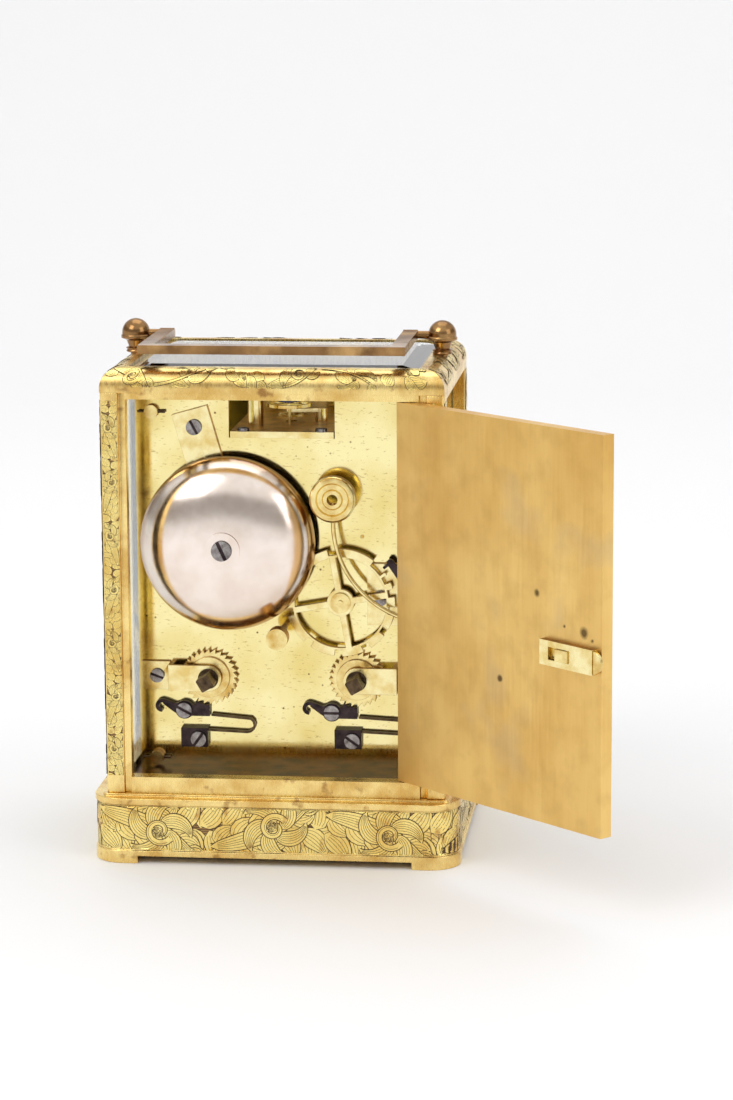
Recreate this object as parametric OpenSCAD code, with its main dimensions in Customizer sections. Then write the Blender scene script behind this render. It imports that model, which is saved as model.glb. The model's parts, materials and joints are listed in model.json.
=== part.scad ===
// Carriage clock with an engraved one-piece case, a rear door, and a striking movement
// with a bell, a count wheel and a platform escapement. Millimetres.
// +Z is up, the dial faces -Y, the rear door is at +Y. The origin is the middle of the
// base at the level it stands on.

/* [Case] */
// Width of the case body
body_w = 86.6; // [82:0.2:92]
// Depth of the case body
body_d = 69; // [67:0.5:74]
// Height of the base plinth
plinth_h = 17; // [14:0.5:20]
// How far the plinth stands out round the body
plinth_step = 3.7; // [2:0.1:6]
// Corner radius of the plinth
plinth_r = 8; // [4:0.5:12]
// Height of the feet under the plinth
foot_h = 1.9; // [1:0.1:3]
// Length of each foot along the plinth
foot_len = 12; // [8:0.5:20]
// Wall of the hollow plinth
plinth_wall = 7; // [5.5:0.5:9]
// Height of the ledge between plinth and body
ledge_h = 0.6; // [0.4:0.1:1.5]
// Width of a corner pillar, seen from behind
pillar_w = 6.4; // [5.5:0.1:7]
// Thickness of a pillar's front and rear faces
pillar_t = 4; // [3.8:0.1:4.4]
// Thickness of a pillar's side faces
side_t = 3.3; // [2.6:0.1:3.6]
// Height of the bottom rails
sill_h = 4.2; // [3.6:0.1:5]
// Height of the door and window openings
opening_h = 97.1; // [96:0.1:100]
// Height of the top rails
lintel_h = 1.6; // [1:0.1:2.5]
// Height of the rounded cornice
cornice_h = 6; // [5:0.25:8]
// Width of the cornice round the top glass
cornice_w = 6.5; // [5.5:0.25:8]
// Thickness of the case floor
floor_t = 2.6; // [2:0.1:3.4]
// Thickness of the side glasses
side_glass_t = 1.5; // [1:0.1:2]
// Thickness of the bevelled front and top glasses
bevel_glass_t = 1.8; // [1.4:0.1:2.4]
// Width of the bevel on the front and top glasses
bevel_w = 5; // [2:0.5:8]

/* [Handle and finials] */
// Distance of each finial's centre from the side of the case
finial_in = 3.5; // [3.3:0.1:5]
// Height of the handle's pivots above the cornice
handle_lift = 4.9; // [4.4:0.1:5.6]
// Diameter of the finials' ball
finial_d = 7.4; // [6.5:0.1:8]
// Gap between the handle's arms and the finials
handle_side_gap = 2.6; // [1.6:0.1:4]
// Reach of the handle from its pivots to its outer edge
handle_reach = 34.5; // [30:0.5:36]
// Width of the handle's flat bar
handle_bar = 4; // [3:0.1:5]
// Thickness of the handle
handle_t = 2.2; // [1.6:0.1:2.6]
// Diameter of the handle's pivot pins
handle_pin_d = 2; // [1.5:0.1:2.4]

/* [Door] */
// Angle that the rear door stands open
door_open = 136.4; // [0:0.1:150]
// Thickness of the rear door
door_t = 3.5; // [3:0.1:3.8]
// Gap round the closed door
door_gap = 0.2; // [0.15:0.05:0.4]
// Distance of the door's pivots from its hinge edge
door_pivot_in = 2.3; // [2.1:0.1:2.6]
// Distance of the door's pivots from its outer face
door_pivot_back = 1.3; // [1.1:0.05:1.4]
// Diameter of the door's pivot pins
door_pin_d = 1.2; // [1:0.1:1.4]
// Depth of the rebate that lets the door fold back
rebate_t = 1; // [0.8:0.1:1.2]
// Width of that rebate
rebate_w = 1.8; // [1.6:0.1:2.2]
// Length of the catch housing on the door
catch_len = 18; // [14:0.5:22]
// Height of the catch housing
catch_h = 6.1; // [5:0.1:8]
// Height of the catch above the sill
catch_z = 42.9; // [30:0.5:70]

/* [Movement plates] */
// Distance of the back plate from the rear of the case
plate_back = 19.5; // [18.5:0.25:21]
// Thickness of each movement plate
plate_t = 2; // [1.6:0.1:2.4]
// Room for the motion work between the front plate and the dial's mask
dial_room = 8.9; // [8.9:0.1:10]
// Gap between the movement plates and the side glasses
plate_side_gap = 0.7; // [0.4:0.1:1.5]
// Height of the movement plates
plate_h = 99; // [98:0.1:99.6]
// Height of the dial's centre
dial_z = 72; // [71:0.1:73]
// Width of the notch for the platform
notch_w = 27.2; // [26.5:0.1:30]
// Height of the notch's floor
notch_z = 106.5; // [106:0.1:108]
// Diameter of the pillars between the plates
post_d = 4.4; // [4.2:0.1:5.4]

/* [Bell and hammer] */
// Radius of the bell
bell_r = 22.5; // [20:0.1:23]
// Height of the bell
bell_h = 10.6; // [8:0.1:11]
// Thickness of the bell's wall
bell_wall = 0.9; // [0.6:0.1:1.2]
// Radius of the hammer's head
hammer_r = 5.9; // [4:0.1:6.2]
// Thickness of the hammer's head
hammer_t = 3.4; // [2.6:0.1:4]
// Diameter of the hammer's stem
hammer_wire = 1.1; // [0.8:0.1:1.4]

/* [Wheels] */
// Outer radius of the count wheel
count_r = 14; // [13.4:0.1:14.2]
// Radius of the winding ratchets
ratchet_r = 7.4; // [6.5:0.1:7.6]
// Teeth on each winding ratchet
ratchet_teeth = 28; // [20:4:32]
// Width across the winding squares
winding_square = 3.5; // [3:0.1:3.8]
// Radius of the spring barrels
barrel_r = 15.2; // [14:0.1:16]
// Thickness of the train wheels
wheel_t = 1.2; // [0.8:0.1:1.4]
// Radius of the balance
balance_r = 5.8; // [5:0.1:6.2]

/* [Dial] */
// Radius of the dial's opening in its mask
dial_r = 26.5; // [22:0.5:30]
// Thickness of the hands
hand_t = 0.3; // [0.2:0.05:0.4]

/* [Hidden] */

$fn = 48;
fit = 0.05;       // radial clearance of a shaft in its hole
rest_gap = 0.3;   // gap between pieces that pass close by
snug = 0.02;      // radial clearance of a part that is pressed on
cut = 0.1;        // overrun of a cutting tool past a face

// Levels of the case
body_z = plinth_h + ledge_h;
sill_z = body_z + sill_h;
lintel_z = sill_z + opening_h;
cornice_z = lintel_z + lintel_h;
top_z = cornice_z + cornice_h;
floor_z = body_z + floor_t;
rear_y = body_d / 2;
opening_w = body_w - 2 * pillar_w;
glass_in_x = body_w / 2 - side_t - side_glass_t;
finial_pitch = body_w - 2 * finial_in;
handle_w = finial_pitch - finial_d - 2 * handle_side_gap;

// The movement: its plates from the rear of the case forwards, and the dial's mask
back_y = rear_y - plate_back;
back_in_y = back_y - plate_t;
mask_y = -rear_y + pillar_t + 1.1;
front_y = mask_y + dial_room;
front_in_y = front_y + plate_t;
plate_gap = back_in_y - front_in_y;
plate_w = 2 * (glass_in_x - plate_side_gap);

// Middle of the handle's pivots
handle_z = top_z + handle_lift;

// Door
door_w = opening_w - 2 * door_gap;
door_h = opening_h - 2 * door_gap;
hinge_x = -door_w / 2 + door_pivot_in;
hinge_y = rear_y - door_pivot_back;

// Trains: centres as [x, z] seen from the dial, tooth counts and modules
going_at = [19.2, 44.3];
strike_at = [-19.2, 44.3];
centre_at = [0, dial_z];
barrel_m = 0.38;
going_teeth = 96;
going_pinion = 12;
inter_m = 0.485;
inter_teeth = 54;
centre_pinion = 12;
centre_m = 0.28;
centre_teeth = 80;
third_pinion = 10;
third_m = 0.24;
third_teeth = 75;
contrate_pinion = 10;
contrate_m = 0.25;
contrate_teeth = 60;
escape_pinion = 8;
count_at = [-15.2, 64.7];
strike_teeth = 90;
count_pinion = 18;
strike_m = 2 * norm(count_at - strike_at) / (strike_teeth + count_pinion);
pin_at = [-24.7, 71.8];
second_teeth = 80;
pin_pinion = 8;
second_m = 2 * norm(pin_at - count_at) / (second_teeth + pin_pinion);
pin_teeth = 72;
locking_pinion = 8;
pin_m = 0.26;
locking_teeth = 60;
fly_pinion = 8;
locking_m = 0.24;
motion_m = 0.625;
minute_teeth = 36;
cannon_teeth = 12;
hour_m = 0.6;
hour_teeth = 40;
minute_pinion = 10;

// Distance between two arbors in mesh, and the crossing point of two such distances
function mesh_d(m, a, b) = m * (a + b) / 2;
function towards(a, b) = atan2(b[1] - a[1], b[0] - a[0]);
function polar(c, r, angle) = c + r * [cos(angle), sin(angle)];
function third_point(a, ra, b, rb) = let(d = norm(b - a), s = (ra * ra - rb * rb + d * d) / (2 * d),
  h = sqrt(ra * ra - s * s), e = (b - a) / d) a + s * e + h * [e[1], -e[0]];

inter_at = third_point(going_at, mesh_d(barrel_m, going_teeth, going_pinion),
  centre_at, mesh_d(inter_m, inter_teeth, centre_pinion));
contrate_at = centre_at + [0, 22];
third_at = third_point(centre_at, mesh_d(centre_m, centre_teeth, third_pinion),
  contrate_at, mesh_d(third_m, third_teeth, contrate_pinion));
locking_at = polar(pin_at, mesh_d(pin_m, pin_teeth, locking_pinion), 66);
fly_at = polar(locking_at, mesh_d(locking_m, locking_teeth, fly_pinion), 73);
set_at = centre_at - [0, mesh_d(motion_m, minute_teeth, cannon_teeth)];
hammer_at = [-33, 57.5];
detent_at = [-33.4, 67.3];

// Planes of the train wheels, as the rear face of each
great_y = back_in_y - 7;
great_t = 1.8;
slow_y = back_in_y - 2.8;
centre_y = back_in_y - 8.8;
pin_y = centre_y - 4;
fast_y = centre_y - 6;
contrate_y = fast_y - 4.4;
pinion_over = 0.7;   // how far a pinion is longer than its wheel's face, each end
arbor_r = 0.8;
train_arbor_r = 0.65;
pivot_r = 0.45;

// Gear outline: wheel teeth are wide and pinion leaves are slim
function gear_points(n, m, root, tip, add, ded) = [for (i = [0 : n - 1]) for (k = [0 : 3])
  let(r = n * m / 2 + (k == 0 || k == 3 ? -ded * m : add * m),
      a = 360 / n * (i + (k == 0 ? -root : k == 1 ? -tip : k == 2 ? tip : root) / 2))
  [r * cos(a), r * sin(a)]];

module wheel_teeth(n, m, turn = 0) {
  rotate(turn) polygon(gear_points(n, m, 0.5, 0.2, 0.8, 1.1));
}
module pinion_teeth(n, m, turn = 0) {
  rotate(turn) polygon(gear_points(n, m, 0.38, 0.14, 0.7, 1.15));
}

// Extrudes an outline drawn as seen from the dial, from rear face y forwards by t
module plate_at(y, t) {
  translate([0, y, 0]) rotate([90, 0, 0]) linear_extrude(t) children();
}
// A round bar along Y from rear face y forwards by t
module bar_y(at, y, t, r) {
  translate([at[0], y, at[1]]) rotate([90, 0, 0]) cylinder(r = r, h = t);
}
// Spokes and rim cut-outs of a train wheel
module crossings(n, hub, rim, arm, turn = 0) {
  difference() {
    circle(rim);
    circle(hub);
    for (i = [0 : n - 1]) rotate(turn + i * 360 / n) translate([0, -arm / 2]) square([rim + 1, arm]);
  }
}
// A slotted screw head along Y, standing on a face at y and facing the rear
module screw(at, y, head_r, head_t, shank_r, shank_l, turn) {
  difference() {
    union() {
      bar_y(at, y + head_t, head_t, head_r);
      bar_y(at, y + cut, shank_l + cut, shank_r);
    }
    translate([at[0], y + head_t, at[1]]) rotate([0, turn, 0])
      cube([3 * head_r, 0.7 * head_t, 0.35 * head_r], center = true);
  }
}
// An arbor between the plates with a pivot in each plate
module arbor(at) {
  bar_y(at, back_in_y - rest_gap, plate_gap - 2 * rest_gap, train_arbor_r);
  bar_y(at, back_y, plate_gap + 2 * plate_t, pivot_r);
}

// ---- Case ----

module rounded_block(w, d, h, r) {
  linear_extrude(h) difference() {
    square([w, d], center = true);
    for (sx = [-1, 1]) for (sy = [-1, 1]) translate([sx * (w / 2 - r), sy * (d / 2 - r)])
      difference() {
        translate([sx > 0 ? 0 : -r - 1, sy > 0 ? 0 : -r - 1]) square(r + 1);
        circle(r);
      }
  }
}

plinth_w = body_w + 2 * plinth_step;
plinth_d = body_d + 2 * plinth_step;
module base_plinth() {
  bead = 0.5;
  band = 1.5;
  deck = 3;
  color("#d9b45c") difference() {
    union() {
      rounded_block(plinth_w, plinth_d, foot_h + band, plinth_r);
      translate([0, 0, foot_h + band])
        rounded_block(plinth_w - 2 * bead, plinth_d - 2 * bead, plinth_h - foot_h - 2 * band,
          plinth_r - bead);
      translate([0, 0, plinth_h - band - 0.2]) rounded_block(plinth_w, plinth_d, band + 0.2, plinth_r);
      translate([0, 0, plinth_h]) rounded_block(body_w + 2, body_d + 2, ledge_h, 1.5);
    }
    translate([0, 0, -cut]) rounded_block(plinth_w - 2 * plinth_wall, plinth_d - 2 * plinth_wall,
      plinth_h - deck + cut, 2);
    translate([0, 0, -cut]) rounded_block(cover_w + 2 * cover_gap, cover_d + 2 * cover_gap,
      foot_h + cover_t + cut, 2);
    for (turn = [0, 90]) rotate(turn)
      cube([(turn == 0 ? plinth_w : plinth_d) - 2 * foot_len, 2 * plinth_w, 2 * foot_h], center = true);
  }
}
cover_t = 1.5;
cover_gap = 0.15;
cover_lap = 2;    // how far the cover lies on the plinth's step
cover_w = plinth_w - 2 * plinth_wall + 2 * cover_lap;
cover_d = plinth_d - 2 * plinth_wall + 2 * cover_lap;
module base_cover() {
  color("#8a6a34") translate([0, 0, foot_h]) rounded_block(cover_w, cover_d, cover_t, 2);
}

module floor_plate() {
  color("#5a4326") translate([-body_w / 2 + side_t, -rear_y + pillar_t, body_z])
    cube([body_w - 2 * side_t, body_d - 2 * pillar_t, floor_t]);
}

side_leg = 6.4;
module corner_pillars() {
  r = 1;
  color("#dcb964") for (sx = [-1, 1]) for (sy = [-1, 1]) in_corner(sx, sy)
    translate([0, 0, body_z]) linear_extrude(cornice_z - body_z) difference() {
      union() {
        translate([opening_w / 2, rear_y - pillar_t]) square([pillar_w, pillar_t]);
        translate([body_w / 2 - side_t, rear_y - side_leg]) square([side_t, side_leg]);
      }
      translate([opening_w / 2 - cut, rear_y - rebate_t]) square([rebate_w + cut, rebate_t + cut]);
      difference() {
        translate([body_w / 2 - r, rear_y - r]) square(r + 1);
        translate([body_w / 2 - r, rear_y - r]) circle(r);
      }
    }
}
// Puts a corner that is drawn at +X +Y at any of the four corners
module in_corner(sx, sy) {
  mirror([sx < 0 ? 1 : 0, 0, 0]) mirror([0, sy < 0 ? 1 : 0, 0]) children();
}

module frame_rails() {
  color("#e2c26c") difference() {
    for (level = [[body_z, sill_h], [lintel_z, lintel_h]]) for (s = [-1, 1]) {
      translate([-opening_w / 2, s > 0 ? rear_y - pillar_t : -rear_y, level[0]])
        cube([opening_w, pillar_t, level[1]]);
      translate([s > 0 ? body_w / 2 - side_t : -body_w / 2, -rear_y + side_leg, level[0]])
        cube([side_t, body_d - 2 * side_leg, level[1]]);
    }
    for (level = [sill_z - pin_seat, lintel_z - cut])
      translate([hinge_x, hinge_y, level]) cylinder(d = door_pin_d + 2 * fit, h = pin_seat + cut);
  }
}
pin_seat = 2.5;   // depth of the door pins' holes

module cornice_profile(half) {
  r = cornice_h - 1.2;
  polygon(concat([[-half, 0], [half, 0], [half, 1.2]],
    [for (a = [0 : 7.5 : 90]) [half - r + r * cos(a), 1.2 + r * sin(a)]],
    [for (a = [90 : 7.5 : 180]) [-half + r + r * cos(a), 1.2 + r * sin(a)]],
    [[-half, 1.2]]));
}
module top_cornice() {
  color("#dcb964") difference() {
    intersection() {
      translate([0, rear_y, cornice_z]) rotate([90, 0, 0]) linear_extrude(body_d)
        cornice_profile(body_w / 2);
      translate([-body_w / 2, 0, cornice_z]) rotate([90, 0, 90]) linear_extrude(body_w)
        cornice_profile(rear_y);
    }
    translate([0, 0, cornice_z - cut]) linear_extrude(cornice_h + cut)
      square([top_hole_w - 2 * glass_seat, top_hole_d - 2 * glass_seat], center = true);
    translate([0, 0, top_z - bevel_glass_t]) linear_extrude(bevel_glass_t + cut)
      square([top_hole_w, top_hole_d], center = true);
    for (s = [-1, 1]) translate([s * finial_pitch / 2, 0, top_z - finial_spigot])
      cylinder(r = 1.5, h = finial_spigot + cut);
  }
}
glass_seat = 1.2;
top_hole_w = body_w - 2 * cornice_w;
top_hole_d = body_d - 2 * cornice_w;
finial_spigot = 2;

// A pane with bevelled edges on its outer face: w by h, t thick, outer face up
module bevelled_pane(w, h, t) {
  edge = 0.5 * t;
  intersection() {
    translate([0, h / 2, 0]) rotate([90, 0, 0]) linear_extrude(h)
      polygon([[-w / 2, 0], [w / 2, 0], [w / 2, edge], [w / 2 - bevel_w, t],
        [-w / 2 + bevel_w, t], [-w / 2, edge]]);
    translate([-w / 2, 0, 0]) rotate([90, 0, 90]) linear_extrude(w)
      polygon([[-h / 2, 0], [h / 2, 0], [h / 2, edge], [h / 2 - bevel_w, t],
        [-h / 2 + bevel_w, t], [-h / 2, edge]]);
  }
}
module side_glass(side) {
  x = side > 0 ? glass_in_x : -glass_in_x - side_glass_t;
  color("#dfe9ea", 0.35) translate([x, -rear_y + pillar_t + fit, floor_z])
    cube([side_glass_t, body_d - 2 * pillar_t - 2 * fit, cornice_z - floor_z]);
}
module glass_left() { side_glass(-1); }
module glass_right() { side_glass(1); }
module glass_front() {
  color("#dfe9ea", 0.35) translate([0, -rear_y + 1 + bevel_glass_t, sill_z + opening_h / 2])
    rotate([90, 0, 0]) bevelled_pane(opening_w - 2 * fit, opening_h - 2 * fit, bevel_glass_t);
}
module glass_top() {
  color("#dfe9ea", 0.35) translate([0, 0, top_z - bevel_glass_t])
    bevelled_pane(top_hole_w - 2 * fit, top_hole_d - 2 * fit, bevel_glass_t);
}

// ---- Handle and finials ----

module finials() {
  r = finial_d / 2;
  ring_z = handle_lift - 0.6;
  dome_z = ring_z + 0.8;
  color("#6d5233") for (s = [-1, 1]) difference() {
    translate([s * finial_pitch / 2, 0, top_z]) rotate_extrude() union() {
      polygon([[0, -finial_spigot], [1.45, -finial_spigot], [1.45, 0], [2.4, 0], [2.6, 0.3], [2.3, 0.7],
        [2.7, 1.1], [1.9, 1.5], [r - 1.2, ring_z - 1.2], [r + 0.15, ring_z - 0.6], [r + 0.15, ring_z],
        [r - 0.1, ring_z + 0.3], [r - 0.1, dome_z], [0, dome_z]]);
      intersection() {
        translate([0, dome_z]) circle(r - 0.1);
        translate([0, dome_z - cut]) square(2 * r);
      }
    }
    translate([s * (finial_pitch / 2 - r - 1), 0, handle_z]) rotate([0, s * 90, 0])
      cylinder(d = handle_pin_d + 2 * fit, h = r + 2);
  }
}

module carrying_handle() {
  arm = 3.8;
  half = handle_w / 2;
  eye = handle_t + 0.4;
  pin_in = 1;
  color("#7b6a55") union() {
    for (s = [-1, 1]) {
      translate([s > 0 ? half - arm : -half, 0, handle_z - handle_t / 2])
        cube([arm, handle_reach - handle_bar, handle_t]);
      translate([s > 0 ? half - arm : -half, 0, handle_z]) rotate([0, 90, 0])
        cylinder(r = eye / 2, h = arm);
      translate([s * (half - pin_in), 0, handle_z]) rotate([0, s * 90, 0])
        cylinder(d = handle_pin_d, h = finial_pitch / 2 - half + pin_in + 0.4);
    }
    translate([-half, handle_reach - handle_bar, handle_z - handle_t / 2])
      cube([handle_w, handle_bar, handle_t]);
  }
}

// ---- Door and catch ----

// Places a piece that is drawn on the closed door
module on_door() {
  translate([hinge_x, hinge_y, 0]) rotate(door_open) translate([-hinge_x, -hinge_y, 0]) children();
}
catch_mid_z = sill_z + catch_z;
door_in_y = rear_y - door_t;
catch_end_x = door_w / 2 - 1.5;
catch_t = 1.8;
bolt_h = catch_h - 0.5;
bolt_t = 0.85;
bolt_y = door_in_y - 0.65;
bolt_out = 2.7;       // how far the bolt stands out of its housing
bolt_travel = 2.6;
stud_w = 4.3;
stud_h = 3;
stud_x = catch_end_x - 10.15;
shank_r = 0.9;

module rear_door() {
  r = door_pivot_back;
  color("#d3ab5e") on_door() difference() {
    union() {
      translate([-door_w / 2 + r, door_in_y, sill_z + door_gap]) cube([door_w - r, door_t, door_h]);
      translate([-door_w / 2, door_in_y, sill_z + door_gap]) cube([door_w / 2, door_t - r, door_h]);
      translate([-door_w / 2 + r, rear_y - r, sill_z + door_gap]) cylinder(r = r, h = door_h);
    }
    for (z = [sill_z - cut, lintel_z - pin_seat]) translate([hinge_x, hinge_y, z])
      cylinder(d = door_pin_d + 2 * fit, h = pin_seat + cut);
    translate([stud_x - shank_r - fit - bolt_travel, door_in_y - cut, catch_mid_z - shank_r - fit])
      cube([2 * (shank_r + fit) + bolt_travel, door_t + 2 * cut, 2 * (shank_r + fit)]);
  }
}
module door_pivots() {
  color("#b08a4a") {
    translate([hinge_x, hinge_y, sill_z - pin_seat])
      cylinder(d = door_pin_d, h = 2 * pin_seat - rest_gap);
    translate([hinge_x, hinge_y, lintel_z - pin_seat + rest_gap])
      cylinder(d = door_pin_d, h = pin_seat - rest_gap + lintel_h);
  }
}
module catch_housing() {
  wall = 2;
  color("#caa257") on_door() difference() {
    translate([catch_end_x - catch_len, door_in_y - catch_t, catch_mid_z - catch_h / 2])
      cube([catch_len, catch_t, catch_h]);
    translate([catch_end_x - catch_len + wall, bolt_y - bolt_t - fit, catch_mid_z - bolt_h / 2 - fit])
      cube([catch_len, bolt_t + 2 * fit, bolt_h + 2 * fit]);
    translate([stud_x - stud_w / 2 - bolt_travel - fit, door_in_y - catch_t - cut,
      catch_mid_z - stud_h / 2 - fit]) cube([stud_w + bolt_travel + 2 * fit, catch_t, stud_h + 2 * fit]);
    translate([stud_x - shank_r - fit - bolt_travel, bolt_y - cut, catch_mid_z - shank_r - fit])
      cube([2 * (shank_r + fit) + bolt_travel, catch_t, 2 * (shank_r + fit)]);
  }
}
module catch_bolt() {
  tongue_r = bolt_h / 2;
  stud_t = 1.65;
  start = catch_end_x - catch_len + 2 + bolt_travel + 0.4;
  color("#8a7048") on_door() {
    translate([start, bolt_y - bolt_t, catch_mid_z - bolt_h / 2])
      cube([catch_end_x + bolt_out - tongue_r - start, bolt_t, bolt_h]);
    translate([catch_end_x + bolt_out - tongue_r, bolt_y, catch_mid_z]) rotate([90, 0, 0])
      cylinder(r = tongue_r, h = bolt_t);
    translate([stud_x - stud_w / 2, bolt_y - stud_t, catch_mid_z - stud_h / 2])
      cube([stud_w, stud_t, stud_h]);
    translate([stud_x, bolt_y - cut, catch_mid_z]) rotate([-90, 0, 0])
      cylinder(r = shank_r, h = rear_y - bolt_y + rest_gap + 2 * cut);
    translate([stud_x, rear_y + rest_gap, catch_mid_z]) rotate([-90, 0, 0]) rotate_extrude()
      polygon([[0, 0], [2.2, 0], [2.2, 0.5], [1.5, 0.9], [1.5, 1.6], [2.6, 2.2], [2.9, 3], [2.4, 3.8],
        [0, 4.1]]);
  }
}

// ---- Movement plates ----

post_x = plate_w / 2 - post_d;
post_low_z = floor_z + post_d / 2 + 0.1;
post_high_z = 113.2;
posts_at = [[-post_x, post_low_z], [post_x, post_low_z], [-post_x, post_high_z], [post_x, post_high_z]];
post_end_r = 1.75;
pivots_at = [inter_at, centre_at, third_at, contrate_at, pin_at, locking_at, fly_at];
winding_r = 2;
collar_r = 2.55;

module plate_outline() {
  translate([-plate_w / 2, floor_z]) square([plate_w, plate_h]);
}
module back_plate() {
  color("#efe3a0") difference() {
    plate_at(back_y, plate_t) difference() {
      plate_outline();
      translate([-notch_w / 2, notch_z]) square([notch_w, plate_h]);
      for (p = posts_at) translate(p) circle(post_end_r + fit);
      for (p = pivots_at) translate(p) circle(pivot_r + fit);
      for (p = [going_at, strike_at]) translate(p) circle(winding_r + fit);
      for (p = [count_at, hammer_at, set_at, detent_at]) translate(p) circle(arbor_r + fit);
      for (p = screws_at) translate(p) circle(screw_hole_r);
    }
    for (p = platform_screws_at) translate([p[0], p[1], notch_z - 4])
      cylinder(r = platform_screw_r + fit, h = 5);
  }
}
module front_plate() {
  color("#e5d48c") plate_at(front_in_y, plate_t) difference() {
    plate_outline();
    for (p = posts_at) translate(p) circle(post_end_r + fit);
    for (p = concat(pivots_at, [count_at, hammer_at])) translate(p) circle(pivot_r + fit);
    for (p = [going_at, strike_at]) translate(p) circle(winding_r + fit);
    translate(centre_at) circle(arbor_r + fit);
    translate(set_at) circle(arbor_r + fit);
  }
}
post_out = 2;      // how far the posts' ends stand out of the plates
taper_pin_r = 0.4;
module plate_pillars() {
  neck = 0.7;
  ring_t = 3;
  color("#e0c673") difference() {
    for (p = posts_at) {
      bar_y(p, back_in_y, plate_gap, post_d / 2 - neck);
      for (y = [back_in_y, (back_in_y + front_in_y + ring_t) / 2, front_in_y + ring_t])
        bar_y(p, y, ring_t, post_d / 2);
      bar_y(p, back_y + post_out, plate_gap + 2 * plate_t + 2 * post_out, post_end_r);
    }
    for (p = posts_at) for (y = [back_y + post_out / 2, front_y - post_out / 2])
      translate([p[0] - 3, y, p[1]]) rotate([0, 90, 0]) cylinder(r = taper_pin_r + fit, h = 6);
  }
}
module taper_pins() {
  length = 7.2;
  color("#4b4746") for (p = posts_at) for (y = [back_y + post_out / 2, front_y - post_out / 2])
    translate([p[0] - length / 2, y, p[1]]) rotate([0, 90, 0])
      cylinder(r1 = taper_pin_r, r2 = 0.7 * taper_pin_r, h = length);
}

// ---- Screws on the back plate ----

screw_r = 0.8;
screw_hole_r = screw_r + fit;
bridge_screw_x = post_x - 0.4;
click_off = [6.7, -8.9];
click_at = [going_at + click_off, strike_at + click_off];
block_screw_at = [[22.2, 27.9], [-17.8, 28.1]];
stand_screw_at = [22.4, 109.3];
cock_screw_at = [-25.2, 65.6];
platform_screws_at = [[-10, back_y - 1], [10, back_y - 1]];
screws_at = [[bridge_screw_x, going_at[1]], [-bridge_screw_x, strike_at[1]], click_at[0], click_at[1],
  block_screw_at[0], block_screw_at[1], stand_screw_at, cock_screw_at];
bridge_t = 1.2;
block_t = 2.4;
cock_t = 1.3;
stand_t = 1.2;
ratchet_t = 1.6;
platform_t = 1.6;
function screw_seat(i) = i < 2 ? bridge_t : i < 4 ? rest_gap + ratchet_t + fit :
  i < 6 ? block_t : i == 6 ? stand_t : cock_t;
screw_turns = [-20, 35, -28, 0, 55, -35, -62, 0];
platform_screw_r = 0.5;

module movement_screws() {
  washer_t = 0.5;
  color("#5c5a5e") {
    for (i = [0 : len(screws_at) - 1])
      screw(screws_at[i], back_y + screw_seat(i), i < 2 ? 1.8 : 2, i == 7 ? 0.5 : 0.8, screw_r,
        screw_seat(i) + plate_t, screw_turns[i]);
    for (p = platform_screws_at) translate([p[0], p[1], notch_z + platform_t]) rotate([90, 0, 0])
      screw([0, 0], 0, 1.5, 0.8, platform_screw_r, platform_t + 3, 0);
    difference() {
      bar_y(bell_at, bell_top_y + washer_t, washer_t, 4.6);
      bar_y(bell_at, bell_top_y + 1, 3, bell_screw_r + fit);
    }
    screw(bell_at, bell_top_y + washer_t, 2.6, 0.6, bell_screw_r, 3, -65);
  }
}

// ---- Bell and hammer ----

count_y = back_y + 3.8;
bell_at = [13.6, 79.9];
bell_rim_y = count_y + rest_gap + 0.1;
bell_top_y = bell_rim_y + bell_h;
bell_screw_r = 1.2;
// Profile of the bell: half of a rounded dome
function dome(r, h) = [for (i = [0 : 16]) let(a = 90 * i / 16)
  [r * pow(sin(a), 0.82), h * pow(cos(a), 0.9)]];
module bell() {
  inner = dome(bell_r - bell_wall, bell_h - bell_wall);
  color("#dccbbd") translate([bell_at[0], bell_rim_y, bell_at[1]]) rotate([-90, 0, 0]) difference() {
    rotate_extrude() polygon(concat(dome(bell_r, bell_h), [for (i = [16 : -1 : 0]) inner[i]]));
    translate([0, 0, bell_h - 3]) cylinder(r = bell_screw_r + fit, h = 4);
  }
}
module bell_stand() {
  lean = 16;
  strap_w = 9.5;
  post_r = 2.2;
  post_end_y = bell_top_y - bell_wall - fit;
  color("#e6d48a") difference() {
    union() {
      translate([stand_screw_at[0], back_y + stand_t, stand_screw_at[1]]) rotate([90, lean, 0])
        linear_extrude(stand_t) translate([-strap_w / 2, -33.5]) square([strap_w, 38]);
      bar_y(bell_at, post_end_y, post_end_y - back_y - stand_t / 2, post_r);
    }
    bar_y(stand_screw_at, back_y + stand_t + cut, stand_t + 2 * cut, screw_hole_r);
    bar_y(bell_at, bell_top_y, 3.5, bell_screw_r + fit);
  }
}

hammer_head_at = [-13.8, 92.1];
hammer_y = back_y + 5.1;
module hammer_head() {
  hole_r = 1.4;
  color("#c9ad62") difference() {
    translate([hammer_head_at[0], hammer_y, hammer_head_at[1]]) rotate([-90, 0, 0]) rotate_extrude()
      polygon([[hole_r, 0], [hammer_r - 0.6, 0], [hammer_r, 0.5], [hammer_r, hammer_t - 0.5],
        [hammer_r - 0.5, hammer_t], [hammer_r - 1.6, hammer_t], [hammer_r - 2, hammer_t - 0.5],
        [hammer_r - 3.2, hammer_t - 0.5], [hammer_r - 3.6, hammer_t], [hole_r, hammer_t]]);
    translate([hammer_head_at[0], hammer_wire_y, hammer_head_at[1] - 2 * hammer_r])
      cylinder(r = hammer_wire / 2 + snug, h = 2 * hammer_r);
  }
}
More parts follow.
